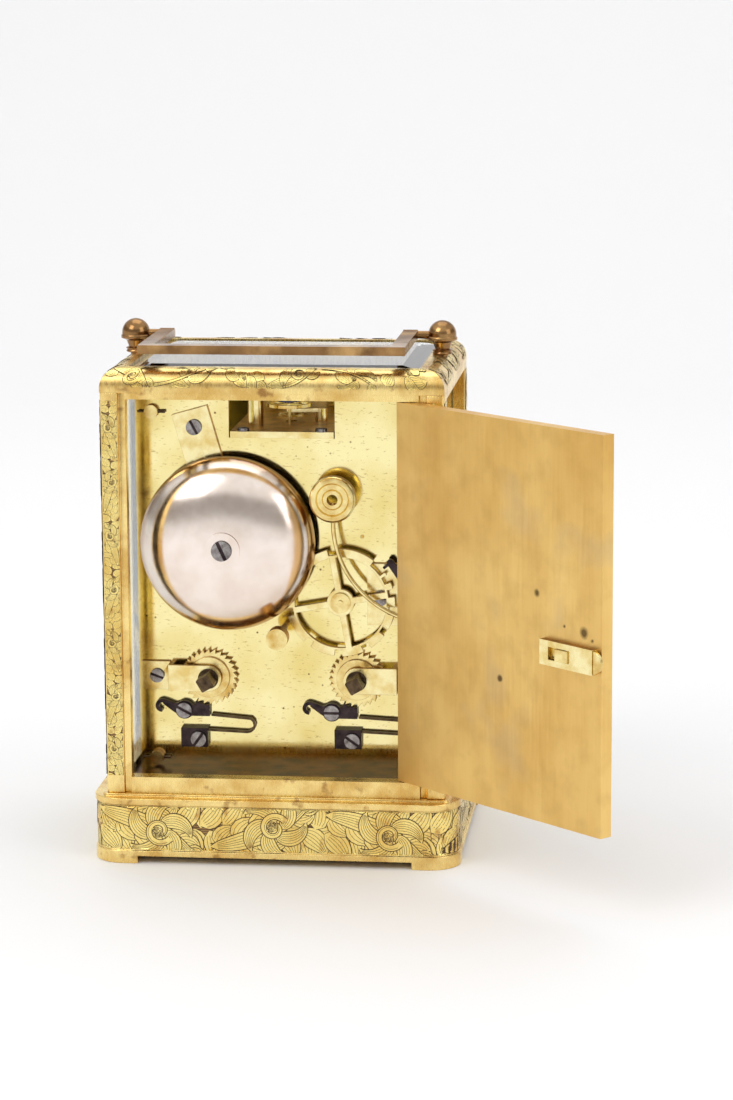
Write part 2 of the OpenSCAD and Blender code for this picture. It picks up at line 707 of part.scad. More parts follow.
// The stem is a wire: an arc that rises from beside its arbor, then a straight end up to the head
hammer_wire_y = hammer_y + hammer_t / 2;
stem_r = 25.6;
stem_top_z = 86;
stem_arc = 74;
module hammer_arbor() {
  tail_l = 7;
  tail = polar(hammer_at, tail_l, towards(hammer_at, pin_at));
  stem_c = [hammer_head_at[0] - stem_r, stem_top_z];
  stem_foot = polar(stem_c, stem_r, -stem_arc);
  wire_r = hammer_wire / 2;
  color("#a08a58") {
    arbor_through(hammer_at, hammer_wire_y + 1 - back_y);
    bar_y(hammer_at, hammer_wire_y + 1.4, 2.8, 2);
    plate_at(pin_y + 2.2, 1.2) {
      translate(hammer_at) circle(1.6);
      translate(hammer_at) rotate(towards(hammer_at, pin_at)) translate([0, -0.6]) square([tail_l, 1.2]);
      translate(tail) circle(0.6);
    }
    plate_at(hammer_wire_y + 0.8, 1.6) translate(hammer_at) rotate(towards(hammer_at, stem_foot))
      translate([0, -0.9]) square([norm(stem_foot - hammer_at) + cut, 1.8]);
    translate([stem_c[0], hammer_wire_y, stem_c[1]]) rotate([90, 0, 0]) rotate(-stem_arc)
      rotate_extrude(angle = stem_arc) translate([stem_r, 0]) circle(wire_r);
    translate([hammer_head_at[0], hammer_wire_y, stem_top_z - cut])
      cylinder(r = wire_r, h = hammer_head_at[1] - stem_top_z - 1 + cut);
  }
}
// An arbor that runs out through the back plate by a length
module arbor_through(at, out) {
  bar_y(at, back_y + out, plate_t + out + cut, arbor_r);
  bar_y(at, back_in_y, plate_gap - rest_gap, arbor_r);
  bar_y(at, back_in_y, plate_gap + plate_t, pivot_r);
}

// ---- Strike work on the back plate ----

count_t = 1.5;
blows = 90;        // twelve hours' blows and one more for each half hour
slot_depth = 1.6;
// Number of blows struck before the slot that ends hour h
function blows_to(h) = h == 0 ? 0 : blows_to(h - 1) + h + 1;
detent_turn = towards(count_at, polar(count_at, 1, 140.6));
module count_wheel() {
  rim = 2.2;
  blow = 360 / blows;
  side = 2.5;      // how far a slot runs on past its blow, in degrees
  slot_r = count_r - slot_depth;
  color("#e9d88f") plate_at(count_y, count_t) translate(count_at) difference() {
    circle(count_r);
    rotate(-10) crossings(4, 3.5, count_r - rim, 1.6);
    circle(arbor_r + snug);
    rotate(detent_turn - blow / 2) for (h = [1 : 12]) let(a = blow * (blows_to(h) - 2))
      polygon([polar([0, 0], slot_r, a - side), polar([0, 0], 2 * count_r, a - side),
        polar([0, 0], 2 * count_r, a + blow + side), polar([0, 0], slot_r, a + blow + side)]);
  }
}
module count_arbor() {
  collar_t = 0.9;
  color("#b49a5a") {
    arbor_through(count_at, count_y + collar_t + 0.6 - back_y);
    bar_y(count_at, count_y + collar_t, collar_t, 2.6);
    plate_at(great_y + pinion_over, great_t + 2 * pinion_over) translate(count_at)
      pinion_teeth(count_pinion, strike_m, towards(count_at, strike_at) + 180 / count_pinion);
    plate_at(slow_y, wheel_t) translate(count_at) difference() {
      wheel_teeth(second_teeth, second_m, towards(count_at, pin_at));
      crossings(4, 3.4, second_teeth * second_m / 2 - 1.6, 1.3, 20);
    }
  }
}
module detent_lever() {
  lever_y = count_y - 0.1;
  lever_t = count_t - 0.2;
  arm_w = 1.8;
  nose_w = 0.7;
  shoulder = polar(count_at, count_r + 2.6, detent_turn);
  tip = polar(count_at, count_r + rest_gap, detent_turn);
  color("#4f4243") {
    bar_y(detent_at, lever_y, lever_y - back_in_y + 4, arbor_r);
    bar_y(detent_at, back_in_y - rest_gap, 1.4, 1.5);
    plate_at(lever_y, lever_t) {
      translate(detent_at) circle(2);
      translate(detent_at) rotate(towards(detent_at, shoulder)) translate([0, -arm_w / 2])
        square([norm(shoulder - detent_at), arm_w]);
      translate(shoulder) circle(arm_w / 2);
      translate(tip) rotate(towards(tip, shoulder)) translate([0, -nose_w / 2])
        square([norm(shoulder - tip), nose_w]);
    }
  }
}
module detent_cock() {
  w = 8;
  h = 16;
  color("#e3cd80") plate_at(back_y + cock_t, cock_t) difference() {
    translate([pin_at[0] - w + 2.9, pin_at[1] + 2.7 - h]) square([w, h]);
    translate(pin_at) circle(pivot_r + fit);
    translate(cock_screw_at) circle(screw_hole_r);
  }
}

// ---- Winding work ----

bridge_gap = 3.2;     // height of the bridge's arm above the plate
square_out = 10.6;    // how far the squares stand out from the plate
ratchet_collar_t = 0.9;
module winding_arbor(at) {
  bridge_y = back_y + bridge_gap + bridge_t;
  collar_y = back_y + rest_gap + ratchet_t + ratchet_collar_t;
  front_out = 1;
  color("#5d5348") {
    bar_y(at, bridge_y, bridge_y - front_y + front_out, winding_r);
    bar_y(at, bridge_y, bridge_y - collar_y, collar_r);
    translate([at[0], bridge_y - cut, at[1]]) rotate([-90, 30, 0])
      linear_extrude(back_y + square_out - bridge_y)
      intersection() {
        square(winding_square, center = true);
        circle(0.66 * winding_square);
      }
  }
}
module going_arbor() { winding_arbor(going_at); }
module strike_arbor() { winding_arbor(strike_at); }

module ratchet(at) {
  n = ratchet_teeth;
  disc_r = 5.3;
  tooth_h = 1.1;
  slope = 0.12;    // share of a tooth's pitch that its steep side takes
  collar_y = back_y + rest_gap + ratchet_t + ratchet_collar_t;
  color("#dcc47a") {
    plate_at(back_y + rest_gap + ratchet_t, ratchet_t) translate(at) difference() {
      polygon([for (i = [0 : n - 1]) for (k = [0, 1]) polar([0, 0], ratchet_r - k * tooth_h,
        360 / n * (i + k * slope))]);
      circle(winding_r + snug);
    }
    plate_at(collar_y, ratchet_collar_t) translate(at) difference() {
      circle(disc_r);
      circle(winding_r + snug);
    }
  }
}
module going_ratchet() { ratchet(going_at); }
module strike_ratchet() { ratchet(strike_at); }

module winding_bridges() {
  strap = 6.8;
  foot_w = 7.4;
  foot_in = bridge_screw_x - 3.4;
  hole_r = 2.6;
  color("#eadb94") for (s = [0, 1]) mirror([s, 0, 0]) translate([0, 0, going_at[1]]) difference() {
    union() {
      translate([foot_in, back_y, -foot_w / 2]) cube([foot_w, bridge_t, foot_w]);
      translate([foot_in - bridge_t, back_y, -strap / 2]) cube([bridge_t, bridge_gap + bridge_t, strap]);
      translate([going_at[0], back_y + bridge_gap, -strap / 2])
        cube([foot_in - going_at[0], bridge_t, strap]);
      translate([going_at[0], back_y + bridge_gap, 0]) rotate([-90, 0, 0])
        cylinder(r = strap / 2, h = bridge_t);
    }
    translate([going_at[0], back_y + bridge_gap - cut, 0]) rotate([-90, 0, 0])
      cylinder(r = hole_r, h = bridge_t + 2 * cut);
    translate([bridge_screw_x, back_y - cut, 0]) rotate([-90, 0, 0])
      cylinder(r = screw_hole_r, h = bridge_t + 2 * cut);
  }
}

module click(at) {
  color("#4f4243") plate_at(back_y + rest_gap + ratchet_t, ratchet_t) translate(at) difference() {
    union() {
      circle(2.4);
      translate([-6.6, -1.6]) square([3.6, 4.2]);
      translate([-4, -1.6]) square([4, 3]);
      polygon([[0, -2.2], [2.8, -0.6], [5.6, 1.5], [5.2, 2.6], [2.4, 1.6], [0, 2.2]]);
      difference() {
        translate([5.9, 1]) circle(1.7);
        translate([5.9, 1]) circle(0.8);
        translate([3.9, -1.4]) square([2, 2.4]);
      }
    }
    circle(screw_r + fit);
    translate(-click_off) circle(ratchet_r + 0.15);
  }
}
module going_click() { click(click_at[0]); }
module strike_click() { click(click_at[1]); }

block_w = 7;
block_h = 5;
block_off = [-2.4, -2.2];   // from a block's screw to its corner
module spring_blocks() {
  color("#4a3f42") for (p = block_screw_at) plate_at(back_y + block_t, block_t) difference() {
    translate(p + block_off) square([block_w, block_h]);
    translate(p) circle(screw_hole_r);
  }
}
// A strip of width w through a list of points
module strip(points, w) {
  for (i = [0 : len(points) - 2]) let(p = points[i], q = points[i + 1])
    translate(p) rotate(towards(p, q)) translate([0, -w / 2]) square([norm(q - p), w]);
  for (i = [1 : len(points) - 1]) translate(points[i]) circle(w / 2);
}
module click_spring(screw_at, at) {
  w = 0.6;
  bend_r = 1.9;
  root = screw_at + [block_off[0] - fit, block_off[1] + block_h - w];
  bend = [root[0] - 10.2, root[1] + bend_r - 0.4];
  tip = at + [-7.2, -1.3];
  color("#6b5a4c") plate_at(back_y + rest_gap + 1.4, 1.2)
    strip(concat([root], [for (a = [270 : -30 : 120]) polar(bend, bend_r, a)], [tip]), w);
}
module going_click_spring() { click_spring(block_screw_at[0], click_at[0]); }
module strike_click_spring() { click_spring(block_screw_at[1], click_at[1]); }

// ---- Hand setting and motion work, in front of the front plate ----

minute_y = front_y - 1.2;
hour_y = minute_y - 1.8;
module set_arbor() {
  knob_y = back_y + 14;
  knob_t = 4.2;
  color("#c9aa5c") {
    bar_y(set_at, knob_y, knob_y - minute_y + 3.2, arbor_r);
    bar_y(set_at, knob_y, knob_t, 2.75);
    bar_y(set_at, knob_y - knob_t + cut, 3.4, 1.8);
    plate_at(minute_y, 1) translate(set_at) difference() {
      wheel_teeth(minute_teeth, motion_m, 90);
      crossings(4, 3.6, minute_teeth * motion_m / 2 - 2, 1.4, 45);
    }
    plate_at(hour_y + pinion_over, 1 + 2 * pinion_over) translate(set_at)
      pinion_teeth(minute_pinion, hour_m, 90 + 180 / minute_pinion);
  }
}
hour_pipe_r = 2.2;
cannon_r = 1.5;
hour_hand_y = mask_y - 0.6;
minute_hand_y = hour_hand_y - 0.9;
module cannon_pinion() {
  color("#8f8a86") difference() {
    union() {
      plate_at(minute_y + 0.2, 1.4) translate(centre_at)
        pinion_teeth(cannon_teeth, motion_m, -90 + 180 / cannon_teeth);
      bar_y(centre_at, minute_y, minute_y - minute_hand_y + hand_t + 0.2, cannon_r);
    }
    bar_y(centre_at, front_y, 30, arbor_r + fit);
  }
}
module hour_wheel() {
  color("#dcc06c") difference() {
    union() {
      plate_at(hour_y, 1) translate(centre_at) difference() {
        wheel_teeth(hour_teeth, hour_m, -90);
        crossings(4, 4.2, hour_teeth * hour_m / 2 - 2, 1.4, 0);
      }
      bar_y(centre_at, hour_y, hour_y - hour_hand_y + hand_t, hour_pipe_r);
    }
    bar_y(centre_at, hour_y + 1, 30, cannon_r + fit);
  }
}
dial_t = 1.2;
module dial() {
  feet_r = 0.9;
  color("#f5f2e8") {
    difference() {
      bar_y(centre_at, mask_y + dial_t, dial_t, dial_r + 1.5);
      bar_y(centre_at, mask_y + dial_t + 1, dial_t + 2, hour_pipe_r + rest_gap);
    }
    for (a = [60 : 120 : 300])
      bar_y(polar(centre_at, dial_r - 2.5, a), front_y, front_y - mask_y - dial_t, feet_r);
  }
}
module dial_mask() {
  color("#e2c676") plate_at(mask_y, 1) difference() {
    translate([-plate_w / 2, floor_z]) square([plate_w, cornice_z - floor_z - rest_gap]);
    translate(centre_at) circle(dial_r);
  }
}
module hand_shape(length, eye_at, eye_r, hub_r) {
  difference() {
    union() {
      circle(hub_r);
      translate([-0.55, 0]) square([1.1, eye_at]);
      translate([0, eye_at]) circle(eye_r);
      polygon([[-0.7, eye_at], [-0.1, length], [0.1, length], [0.7, eye_at]]);
    }
    translate([0, eye_at + 0.2]) circle(0.62 * eye_r);
  }
}
module hour_hand() {
  color("#2b3357") plate_at(hour_hand_y, hand_t) translate(centre_at) difference() {
    rotate(-305) hand_shape(15.5, 10.6, 1.7, 2.9);
    circle(hour_pipe_r + snug);
  }
}
module minute_hand() {
  color("#2b3357") plate_at(minute_hand_y, hand_t) translate(centre_at) difference() {
    rotate(-60) hand_shape(22.5, 17.4, 1.4, 2.4);
    circle(cannon_r + snug);
  }
}

// ---- Going train ----

module barrel(at, teeth, m, turn) {
  floor_y = front_in_y + 3;
  color("#dfc676") difference() {
    union() {
      bar_y(at, great_y, great_y - floor_y, barrel_r);
      plate_at(great_y, great_t) translate(at) wheel_teeth(teeth, m, turn);
      bar_y(at, floor_y, 1.2, 4);
    }
    bar_y(at, great_y + 1, 40, winding_r + fit);
    bar_y(at, great_y - 1.6, great_y - floor_y - 3.2, barrel_r - 1.4);
  }
}
module going_barrel() { barrel(going_at, going_teeth, barrel_m, towards(going_at, inter_at)); }
module strike_barrel() { barrel(strike_at, strike_teeth, strike_m, towards(strike_at, count_at)); }

// A train wheel: its arbor, its wheel with crossings and its pinion
module train_wheel(at, wheel_y, n, m, turn, leaf_y, leaf_t, pn, pm, leaf_turn, arms, arm_turn, rim = 1.5) {
  arbor(at);
  plate_at(wheel_y, wheel_t) translate(at) difference() {
    wheel_teeth(n, m, turn);
    crossings(arms, 2.4, n * m / 2 - rim, 1.2, arm_turn);
  }
  plate_at(leaf_y + pinion_over, leaf_t + 2 * pinion_over) translate(at) pinion_teeth(pn, pm, leaf_turn);
}
module intermediate_wheel() {
  color("#e0c878") train_wheel(inter_at, slow_y, inter_teeth, inter_m, towards(inter_at, centre_at),
    great_y, great_t, going_pinion, barrel_m, towards(inter_at, going_at) + 180 / going_pinion, 5, 10);
}
module centre_wheel() {
  color("#dfc676") {
    train_wheel(centre_at, centre_y, centre_teeth, centre_m, towards(centre_at, third_at),
      slow_y, wheel_t, centre_pinion, inter_m, towards(centre_at, inter_at) + 180 / centre_pinion, 4, 30);
    bar_y(centre_at, front_in_y, front_in_y - minute_hand_y + 0.4, arbor_r);
  }
}
module third_wheel() {
  color("#e0c878") train_wheel(third_at, fast_y, third_teeth, third_m, towards(third_at, contrate_at),
    centre_y, wheel_t, third_pinion, centre_m, towards(third_at, centre_at) + 180 / third_pinion, 4, 50);
}
crown_h = 1.2;
crown_w = 0.7;
crown_t = 0.26;
module contrate_wheel() {
  r = contrate_teeth * contrate_m / 2;
  color("#e2cb7e") {
    arbor(contrate_at);
    plate_at(contrate_y, 0.8) translate(contrate_at) difference() {
      circle(r + crown_w / 2);
      crossings(4, 2.2, r - 1.2, 1.1, 45);
    }
    for (i = [0 : contrate_teeth - 1])
      translate([contrate_at[0], contrate_y - cut, contrate_at[1]])
        rotate([0, i * 360 / contrate_teeth, 0]) translate([-crown_t / 2, 0, r - crown_w / 2])
          cube([crown_t, crown_h + cut, crown_w]);
    plate_at(fast_y + pinion_over, wheel_t + 2 * pinion_over) translate(contrate_at)
      pinion_teeth(contrate_pinion, third_m, towards(contrate_at, third_at) + 180 / contrate_pinion);
  }
}

// ---- Strike train ----

strike_pins = 9;
pin_ring_r = pin_teeth * pin_m / 2 - 1.9;
module pin_wheel() {
  color("#e0c878") {
    train_wheel(pin_at, pin_y, pin_teeth, pin_m, towards(pin_at, locking_at),
      slow_y, wheel_t, pin_pinion, second_m, towards(pin_at, count_at) + 180 / pin_pinion, 4, 15, 3);
    bar_y(pin_at, back_y + cock_t, cock_t + 1, pivot_r);
    for (i = [0 : strike_pins - 1])
      bar_y(polar(pin_at, pin_ring_r, i * 360 / strike_pins), pin_y + 2.8, 3, 0.35);
  }
}
module locking_wheel() {
  color("#dfc676") train_wheel(locking_at, fast_y, locking_teeth, locking_m, towards(locking_at, fly_at),
    pin_y, wheel_t, locking_pinion, pin_m, towards(locking_at, pin_at) + 180 / locking_pinion, 4, 40);
}
module fly() {
  vane_w = 9;
  vane_y = fast_y - 4.5;
  vane_end_y = front_in_y + 3.2;
  color("#d9bf70") {
    arbor(fly_at);
    plate_at(fast_y + pinion_over, wheel_t + 2 * pinion_over) translate(fly_at)
      pinion_teeth(fly_pinion, locking_m, towards(fly_at, locking_at) + 180 / fly_pinion);
    translate([fly_at[0], (vane_y + vane_end_y) / 2, fly_at[1]]) rotate([0, 25, 0])
      cube([vane_w, vane_y - vane_end_y, 0.5], center = true);
    bar_y(fly_at, vane_y - cut, vane_y - vane_end_y - 2 * cut, 1.3);
  }
}

// ---- Platform escapement ----

platform_w = notch_w - 0.6;
escape_y = contrate_y + crown_h - cut + 0.9;
escape_at = [contrate_at[0], escape_y];
balance_at = escape_at + [0, 4.4];
platform_z = notch_z + platform_t;
escape_z = platform_z + 1.4;
balance_z = platform_z + 4.6;
staff_r = 0.4;
module platform_plate() {
  color("#e8d78e") difference() {
    translate([-platform_w / 2, front_in_y, notch_z])
      cube([platform_w, back_y - front_in_y, platform_t]);
    translate([escape_at[0], escape_at[1], notch_z - cut])
      cylinder(r = 1.5, h = platform_t + 2 * cut);
    translate([balance_at[0], balance_at[1], notch_z - cut])
      cylinder(r = staff_r + fit, h = platform_t + 2 * cut);
    for (p = platform_screws_at) translate([p[0], p[1], notch_z - cut])
      cylinder(r = platform_screw_r + fit, h = platform_t + 2 * cut);
  }
}
// A cock: a foot on the platform and an arm over a pivot, both at platform places
module cock(foot, over, h, arm_w, arm_t) {
  translate([0, 0, platform_z]) difference() {
    union() {
      translate([foot[0], foot[1], 0]) cylinder(r = arm_w / 2, h = h + arm_t);
      translate([0, 0, h]) linear_extrude(arm_t) {
        translate(over) circle(arm_w / 2 - 0.3);
        translate(over) rotate(towards(over, foot)) translate([0, 0.3 - arm_w / 2])
          square([norm(foot - over), arm_w - 0.6]);
      }
    }
    translate([over[0], over[1], h - cut]) cylinder(r = staff_r + fit, h = arm_t + 2 * cut);
  }
}
module platform_cocks() {
  color("#e3cd80") {
    cock(balance_at + [8.6, 1], balance_at, balance_z - platform_z + 2.2, 4, 1.1);
    cock(escape_at + [-7.6, -1.5], escape_at, 2.4, 3.2, 0.9);
  }
}
module balance_wheel() {
  rim = 0.8;
  color("#e6c56b") translate([balance_at[0], balance_at[1], 0]) {
    translate([0, 0, notch_z + 0.4]) cylinder(r = staff_r, h = balance_z - notch_z + 2.6);
    translate([0, 0, balance_z]) linear_extrude(0.8) difference() {
      circle(balance_r);
      crossings(3, 1.1, balance_r - rim, 0.7, 30);
    }
  }
}
module hairspring() {
  turns = 6;
  r0 = 0.7;
  r1 = 3.6;
  w = 0.14;
  steps = 96;
  function coil(i, side) =
    polar([0, 0], r0 + (r1 - r0) * i / steps + side * w / 2, 360 * turns * i / steps);
  inner = [for (i = [0 : steps]) coil(i, -1)];
  outer = [for (i = [steps : -1 : 0]) coil(i, 1)];
  color("#4a5a80") translate([balance_at[0], balance_at[1], balance_z + 1.3]) {
    linear_extrude(0.3) polygon(concat(inner, outer));
    linear_extrude(0.3) difference() {
      circle(r0 + w / 2);
      circle(staff_r);
    }
  }
}
module escape_wheel() {
  n = 15;
  r = 3.4;
  staff_z = contrate_at[1] + 4.4;
  color("#cfa94f") translate([escape_at[0], escape_at[1], 0]) {
    translate([0, 0, escape_z]) linear_extrude(0.5) difference() {
      polygon([for (i = [0 : n - 1]) for (k = [0 : 2])
        polar([0, 0], [r, r, r - 0.9][k], 360 / n * (i + [0, 0.12, 0.3][k]))]);
      crossings(3, 0.9, r - 1.4, 0.6, 0);
    }
    translate([0, 0, staff_z]) cylinder(r = staff_r, h = platform_z + 3.1 - staff_z);
    translate([0, 0, contrate_at[1] + contrate_teeth * contrate_m / 2 - 1.6]) linear_extrude(3)
      rotate(-90 + 180 / escape_pinion)
        polygon(gear_points(escape_pinion, contrate_m, 0.3, 0.2, 0.7, 1.0));
  }
}

base_plinth();
base_cover();
floor_plate();
corner_pillars();
frame_rails();
top_cornice();
glass_left();
glass_right();
glass_front();
glass_top();
finials();
carrying_handle();
rear_door();
door_pivots();
catch_housing();
catch_bolt();
back_plate();
front_plate();
plate_pillars();
taper_pins();
movement_screws();
bell();
bell_stand();
hammer_arbor();
hammer_head();
count_wheel();
count_arbor();
detent_lever();
detent_cock();
going_arbor();
going_ratchet();
strike_arbor();
strike_ratchet();
winding_bridges();
going_click();
strike_click();
spring_blocks();
going_click_spring();
strike_click_spring();
set_arbor();
platform_plate();
platform_cocks();
balance_wheel();
hairspring();
escape_wheel();
dial();
dial_mask();
hour_hand();
minute_hand();
cannon_pinion();
hour_wheel();
going_barrel();
strike_barrel();
intermediate_wheel();
centre_wheel();
third_wheel();
contrate_wheel();
pin_wheel();
locking_wheel();
fly();
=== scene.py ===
"""Dresses a packed carriage clock: gilding, engraving, glass, movement, dial, stage and camera."""

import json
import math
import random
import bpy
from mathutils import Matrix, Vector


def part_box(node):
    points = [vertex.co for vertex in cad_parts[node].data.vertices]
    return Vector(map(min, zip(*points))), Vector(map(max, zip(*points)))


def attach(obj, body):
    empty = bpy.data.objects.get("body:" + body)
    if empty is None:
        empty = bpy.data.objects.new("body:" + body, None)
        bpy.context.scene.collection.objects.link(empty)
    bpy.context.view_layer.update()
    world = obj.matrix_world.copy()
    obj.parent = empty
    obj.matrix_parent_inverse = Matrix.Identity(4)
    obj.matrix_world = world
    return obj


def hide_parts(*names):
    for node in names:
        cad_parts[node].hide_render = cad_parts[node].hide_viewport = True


bl_info = {
    "name": "Carriage clock finishes",
    "version": (1, 0, 0),
    "blender": (4, 5, 0),
    "location": "3D View > Sidebar > Clock",
    "description": "Finishes and fine pieces for a carriage clock with an engraved case",
    "category": "Object",
}

import bmesh
import bpy
from bpy.props import FloatProperty, FloatVectorProperty, IntProperty, PointerProperty
from mathutils import Matrix, Vector

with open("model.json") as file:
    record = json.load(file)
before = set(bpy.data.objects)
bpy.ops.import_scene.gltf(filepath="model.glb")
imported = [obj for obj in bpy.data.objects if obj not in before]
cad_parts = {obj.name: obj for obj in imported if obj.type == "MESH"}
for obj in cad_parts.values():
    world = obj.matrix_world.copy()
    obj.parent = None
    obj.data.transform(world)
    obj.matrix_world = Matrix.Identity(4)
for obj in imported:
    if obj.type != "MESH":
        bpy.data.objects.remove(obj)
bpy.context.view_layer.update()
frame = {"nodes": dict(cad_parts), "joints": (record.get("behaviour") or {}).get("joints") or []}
MM = 0.001


# ---- Colours, nodes and meshes ----


def linear(hex_colour):
    """An sRGB hex colour as linear red, green, blue and alpha."""
    values = [int(hex_colour[i : i + 2], 16) / 255 for i in (1, 3, 5)]
    return [v / 12.92 if v <= 0.04045 else ((v + 0.055) / 1.055) ** 2.4 for v in values] + [1.0]


def add(tree, kind, inputs=None, **settings):
    """Adds a node with its settings; an input takes a value or another node's output."""
    node = tree.nodes.new(kind)
    for key, value in settings.items():
        setattr(node, key, value)
    for key, value in (inputs or {}).items():
        if isinstance(value, bpy.types.NodeSocket):
            tree.links.new(value, node.inputs[key])
        else:
            node.inputs[key].default_value = value
    return node


def blank(name, metallic=0.0, roughness=0.5):
    """A new material with its tree, its Principled shader and its Object coordinates."""
    material = bpy.data.materials.new(name)
    material.use_nodes = True
    tree = material.node_tree
    tree.nodes.clear()
    shader = add(tree, "ShaderNodeBsdfPrincipled", {"Metallic": metallic, "Roughness": roughness})
    add(tree, "ShaderNodeOutputMaterial", {"Surface": shader.outputs[0]})
    place = add(tree, "ShaderNodeTexCoord").outputs["Object"]
    return material, tree, shader, place


def blotches(tree, place, size_mm, low, high, stretch=(1, 1, 1), detail=4.0):
    """A soft mask, 0 to 1, of blotches of a real size."""
    scaled = add(tree, "ShaderNodeMapping", {"Vector": place, "Scale": stretch})
    noise = add(tree, "ShaderNodeTexNoise",
                {"Vector": scaled.outputs[0], "Scale": 1 / (size_mm * MM), "Detail": detail})
    mask = add(tree, "ShaderNodeMapRange", {"Value": noise.outputs[0], "From Min": low, "From Max": high})
    return mask.outputs[0]


def mixed(tree, mask, first, second):
    """A colour that goes from first to second where the mask rises."""
    return add(tree, "ShaderNodeMix", {0: mask, 6: first, 7: second}, data_type="RGBA").outputs[2]


def coloured(tree, shader, colour):
    """Gives a shader its colour from a node."""
    tree.links.new(colour, shader.inputs["Base Color"])


def roughened(tree, shader, mask, low, high):
    """Lets a mask set a shader's roughness between two values."""
    spread = add(tree, "ShaderNodeMapRange", {"Value": mask, "To Min": low, "To Max": high})
    tree.links.new(spread.outputs[0], shader.inputs["Roughness"])


def bumped(tree, shader, mask, strength, depth_mm):
    """Lets a mask raise the surface by a real depth."""
    bump = add(tree, "ShaderNodeBump", {"Height": mask, "Strength": strength, "Distance": depth_mm * MM})
    tree.links.new(bump.outputs[0], shader.inputs["Normal"])


def link_object(name, mesh, materials=()):
    """A new object for a mesh, with its materials."""
    thing = bpy.data.objects.new(name, mesh)
    bpy.context.scene.collection.objects.link(thing)
    for material in materials:
        mesh.materials.append(material)
    return thing


def mesh_from(name, points, faces, materials=(), kinds=None, smooth=False):
    """A mesh object from points in metres, with a material index for each face."""
    mesh = bpy.data.meshes.new(name)
    mesh.from_pydata([tuple(p) for p in points], [], faces)
    thing = link_object(name, mesh, materials)
    for i, face in enumerate(mesh.polygons):
        face.use_smooth = smooth
        if kinds:
            face.material_index = kinds[i]
    return thing


def revolved(name, profile, origin, axis, materials, segments=96):
    """A turned piece: a profile of (radius, height) in millimetres, spun about an axis."""
    turn = Vector(axis).to_track_quat("Z", "Y").to_matrix()
    bm = bmesh.new()
    rings = []
    for radius, height in profile:
        if radius < 1e-6:
            rings.append([bm.verts.new(Vector(origin) + turn @ Vector((0, 0, height * MM)))])
            continue
        ring = []
        for i in range(segments):
            a = math.tau * i / segments
            local = Vector((radius * math.cos(a), radius * math.sin(a), height))
            ring.append(bm.verts.new(Vector(origin) + turn @ local * MM))
        rings.append(ring)
    for low, high in zip(rings, rings[1:]):
        for i in range(segments):
            j = (i + 1) % segments
            corners = [low[i % len(low)], low[j % len(low)], high[j % len(high)], high[i % len(high)]]
            bm.faces.new(list(dict.fromkeys(corners)))
    is_open = (Vector(profile[0]) - Vector(profile[-1])).length > 1e-6
    if is_open and len(rings[0]) > 1 and len(rings[-1]) > 1:
        bm.faces.new(rings[0])
        bm.faces.new(rings[-1])
    bmesh.ops.remove_doubles(bm, verts=bm.verts, dist=1e-7)
    bmesh.ops.recalc_face_normals(bm, faces=bm.faces)
    for face in bm.faces:
        face.smooth = True
    mesh = bpy.data.meshes.new(name)
    bm.to_mesh(mesh)
    bm.free()
    mesh.set_sharp_from_angle(angle=math.radians(38))
    return link_object(name, mesh, materials)


def paint_shade_on_walls(mesh, index, steep=0.6):
    """Paints shade on the faces that don't look along Y: walls of wheels, bars and heads get a darker material
    as painted shade.
    """
    for face in mesh.polygons:
        if abs(face.normal.y) < steep:
            face.material_index = index


def settled(thing, name):
    """The mesh that an object's modifiers make, under its name; the object itself goes."""
    made = thing.evaluated_get(bpy.context.evaluated_depsgraph_get())
    mesh = bpy.data.meshes.new_from_object(made)
    bpy.data.objects.remove(thing)
    mesh.name = name
    return mesh


def worked(node, name, materials, edge_mm=0.12, angle=32, body="case"):
    """A copy of a CAD node with broken edges and smooth round faces, which stands for the node."""
    source = frame["nodes"][node]
    bm = bmesh.new()
    bm.from_mesh(source.data)
    bmesh.ops.remove_doubles(bm, verts=bm.verts, dist=2e-6)
    bmesh.ops.dissolve_limit(bm, angle_limit=math.radians(0.6), verts=bm.verts, edges=bm.edges)
    for face in bm.faces:
        face.smooth = True
        face.material_index = 0
    mesh = bpy.data.meshes.new(name)
    bm.to_mesh(mesh)
    bm.free()
    mesh.set_sharp_from_angle(angle=math.radians(angle))
    rough = link_object(name + "_rough", mesh, materials)
    if edge_mm > 0:
        bevel = rough.modifiers.new("broken_edge", "BEVEL")
        bevel.width = edge_mm * MM
        bevel.segments = 2
        bevel.limit_method = "ANGLE"
        bevel.angle_limit = math.radians(angle)
        bevel.harden_normals = True
    final = settled(rough, name)
    # a second material paints shade on the walls
    if len(materials) > 1:
        paint_shade_on_walls(final, 1)
    thing = link_object(name, final)
    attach(thing, body)
    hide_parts(node)
    return thing


def carried(thing, body, slot, *nodes):
    """Says what a piece rides on and the nodes that it stands for; its slot is not used."""
    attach(thing, body)
    if nodes:
        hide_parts(*nodes)
    return thing


def finish_node(node, material):
    """Gives a CAD node its finish."""
    thing = frame["nodes"][node]
    if not thing.material_slots:
        thing.data.materials.append(material)
    for slot in thing.material_slots:
        slot.material = material


# ---- Finishes ----


def gilt_brass(name="mercury_gilt_brass", light="#FADF94", worn="#DEB668", deep="#A87E48"):
    """Mercury-gilt brass of an old case: warm, rubbed bright, brown where handling has gone through."""
    material, tree, shader, place = blank(name, 1.0)
    rubbed = blotches(tree, place, 9, 0.42, 0.62)
    stains = blotches(tree, place, 3.5, 0.60, 0.74, detail=6.0)
    colour = mixed(tree, rubbed, linear(light), linear(worn))
    colour = mixed(tree, stains, colour, linear(deep))
    coloured(tree, shader, colour)
    grain = blotches(tree, place, 0.5, 0.3, 0.7, stretch=(1, 1, 0.15))
    roughened(tree, shader, grain, 0.20, 0.36)
    bumped(tree, shader, grain, 0.12, 0.02)
    return material


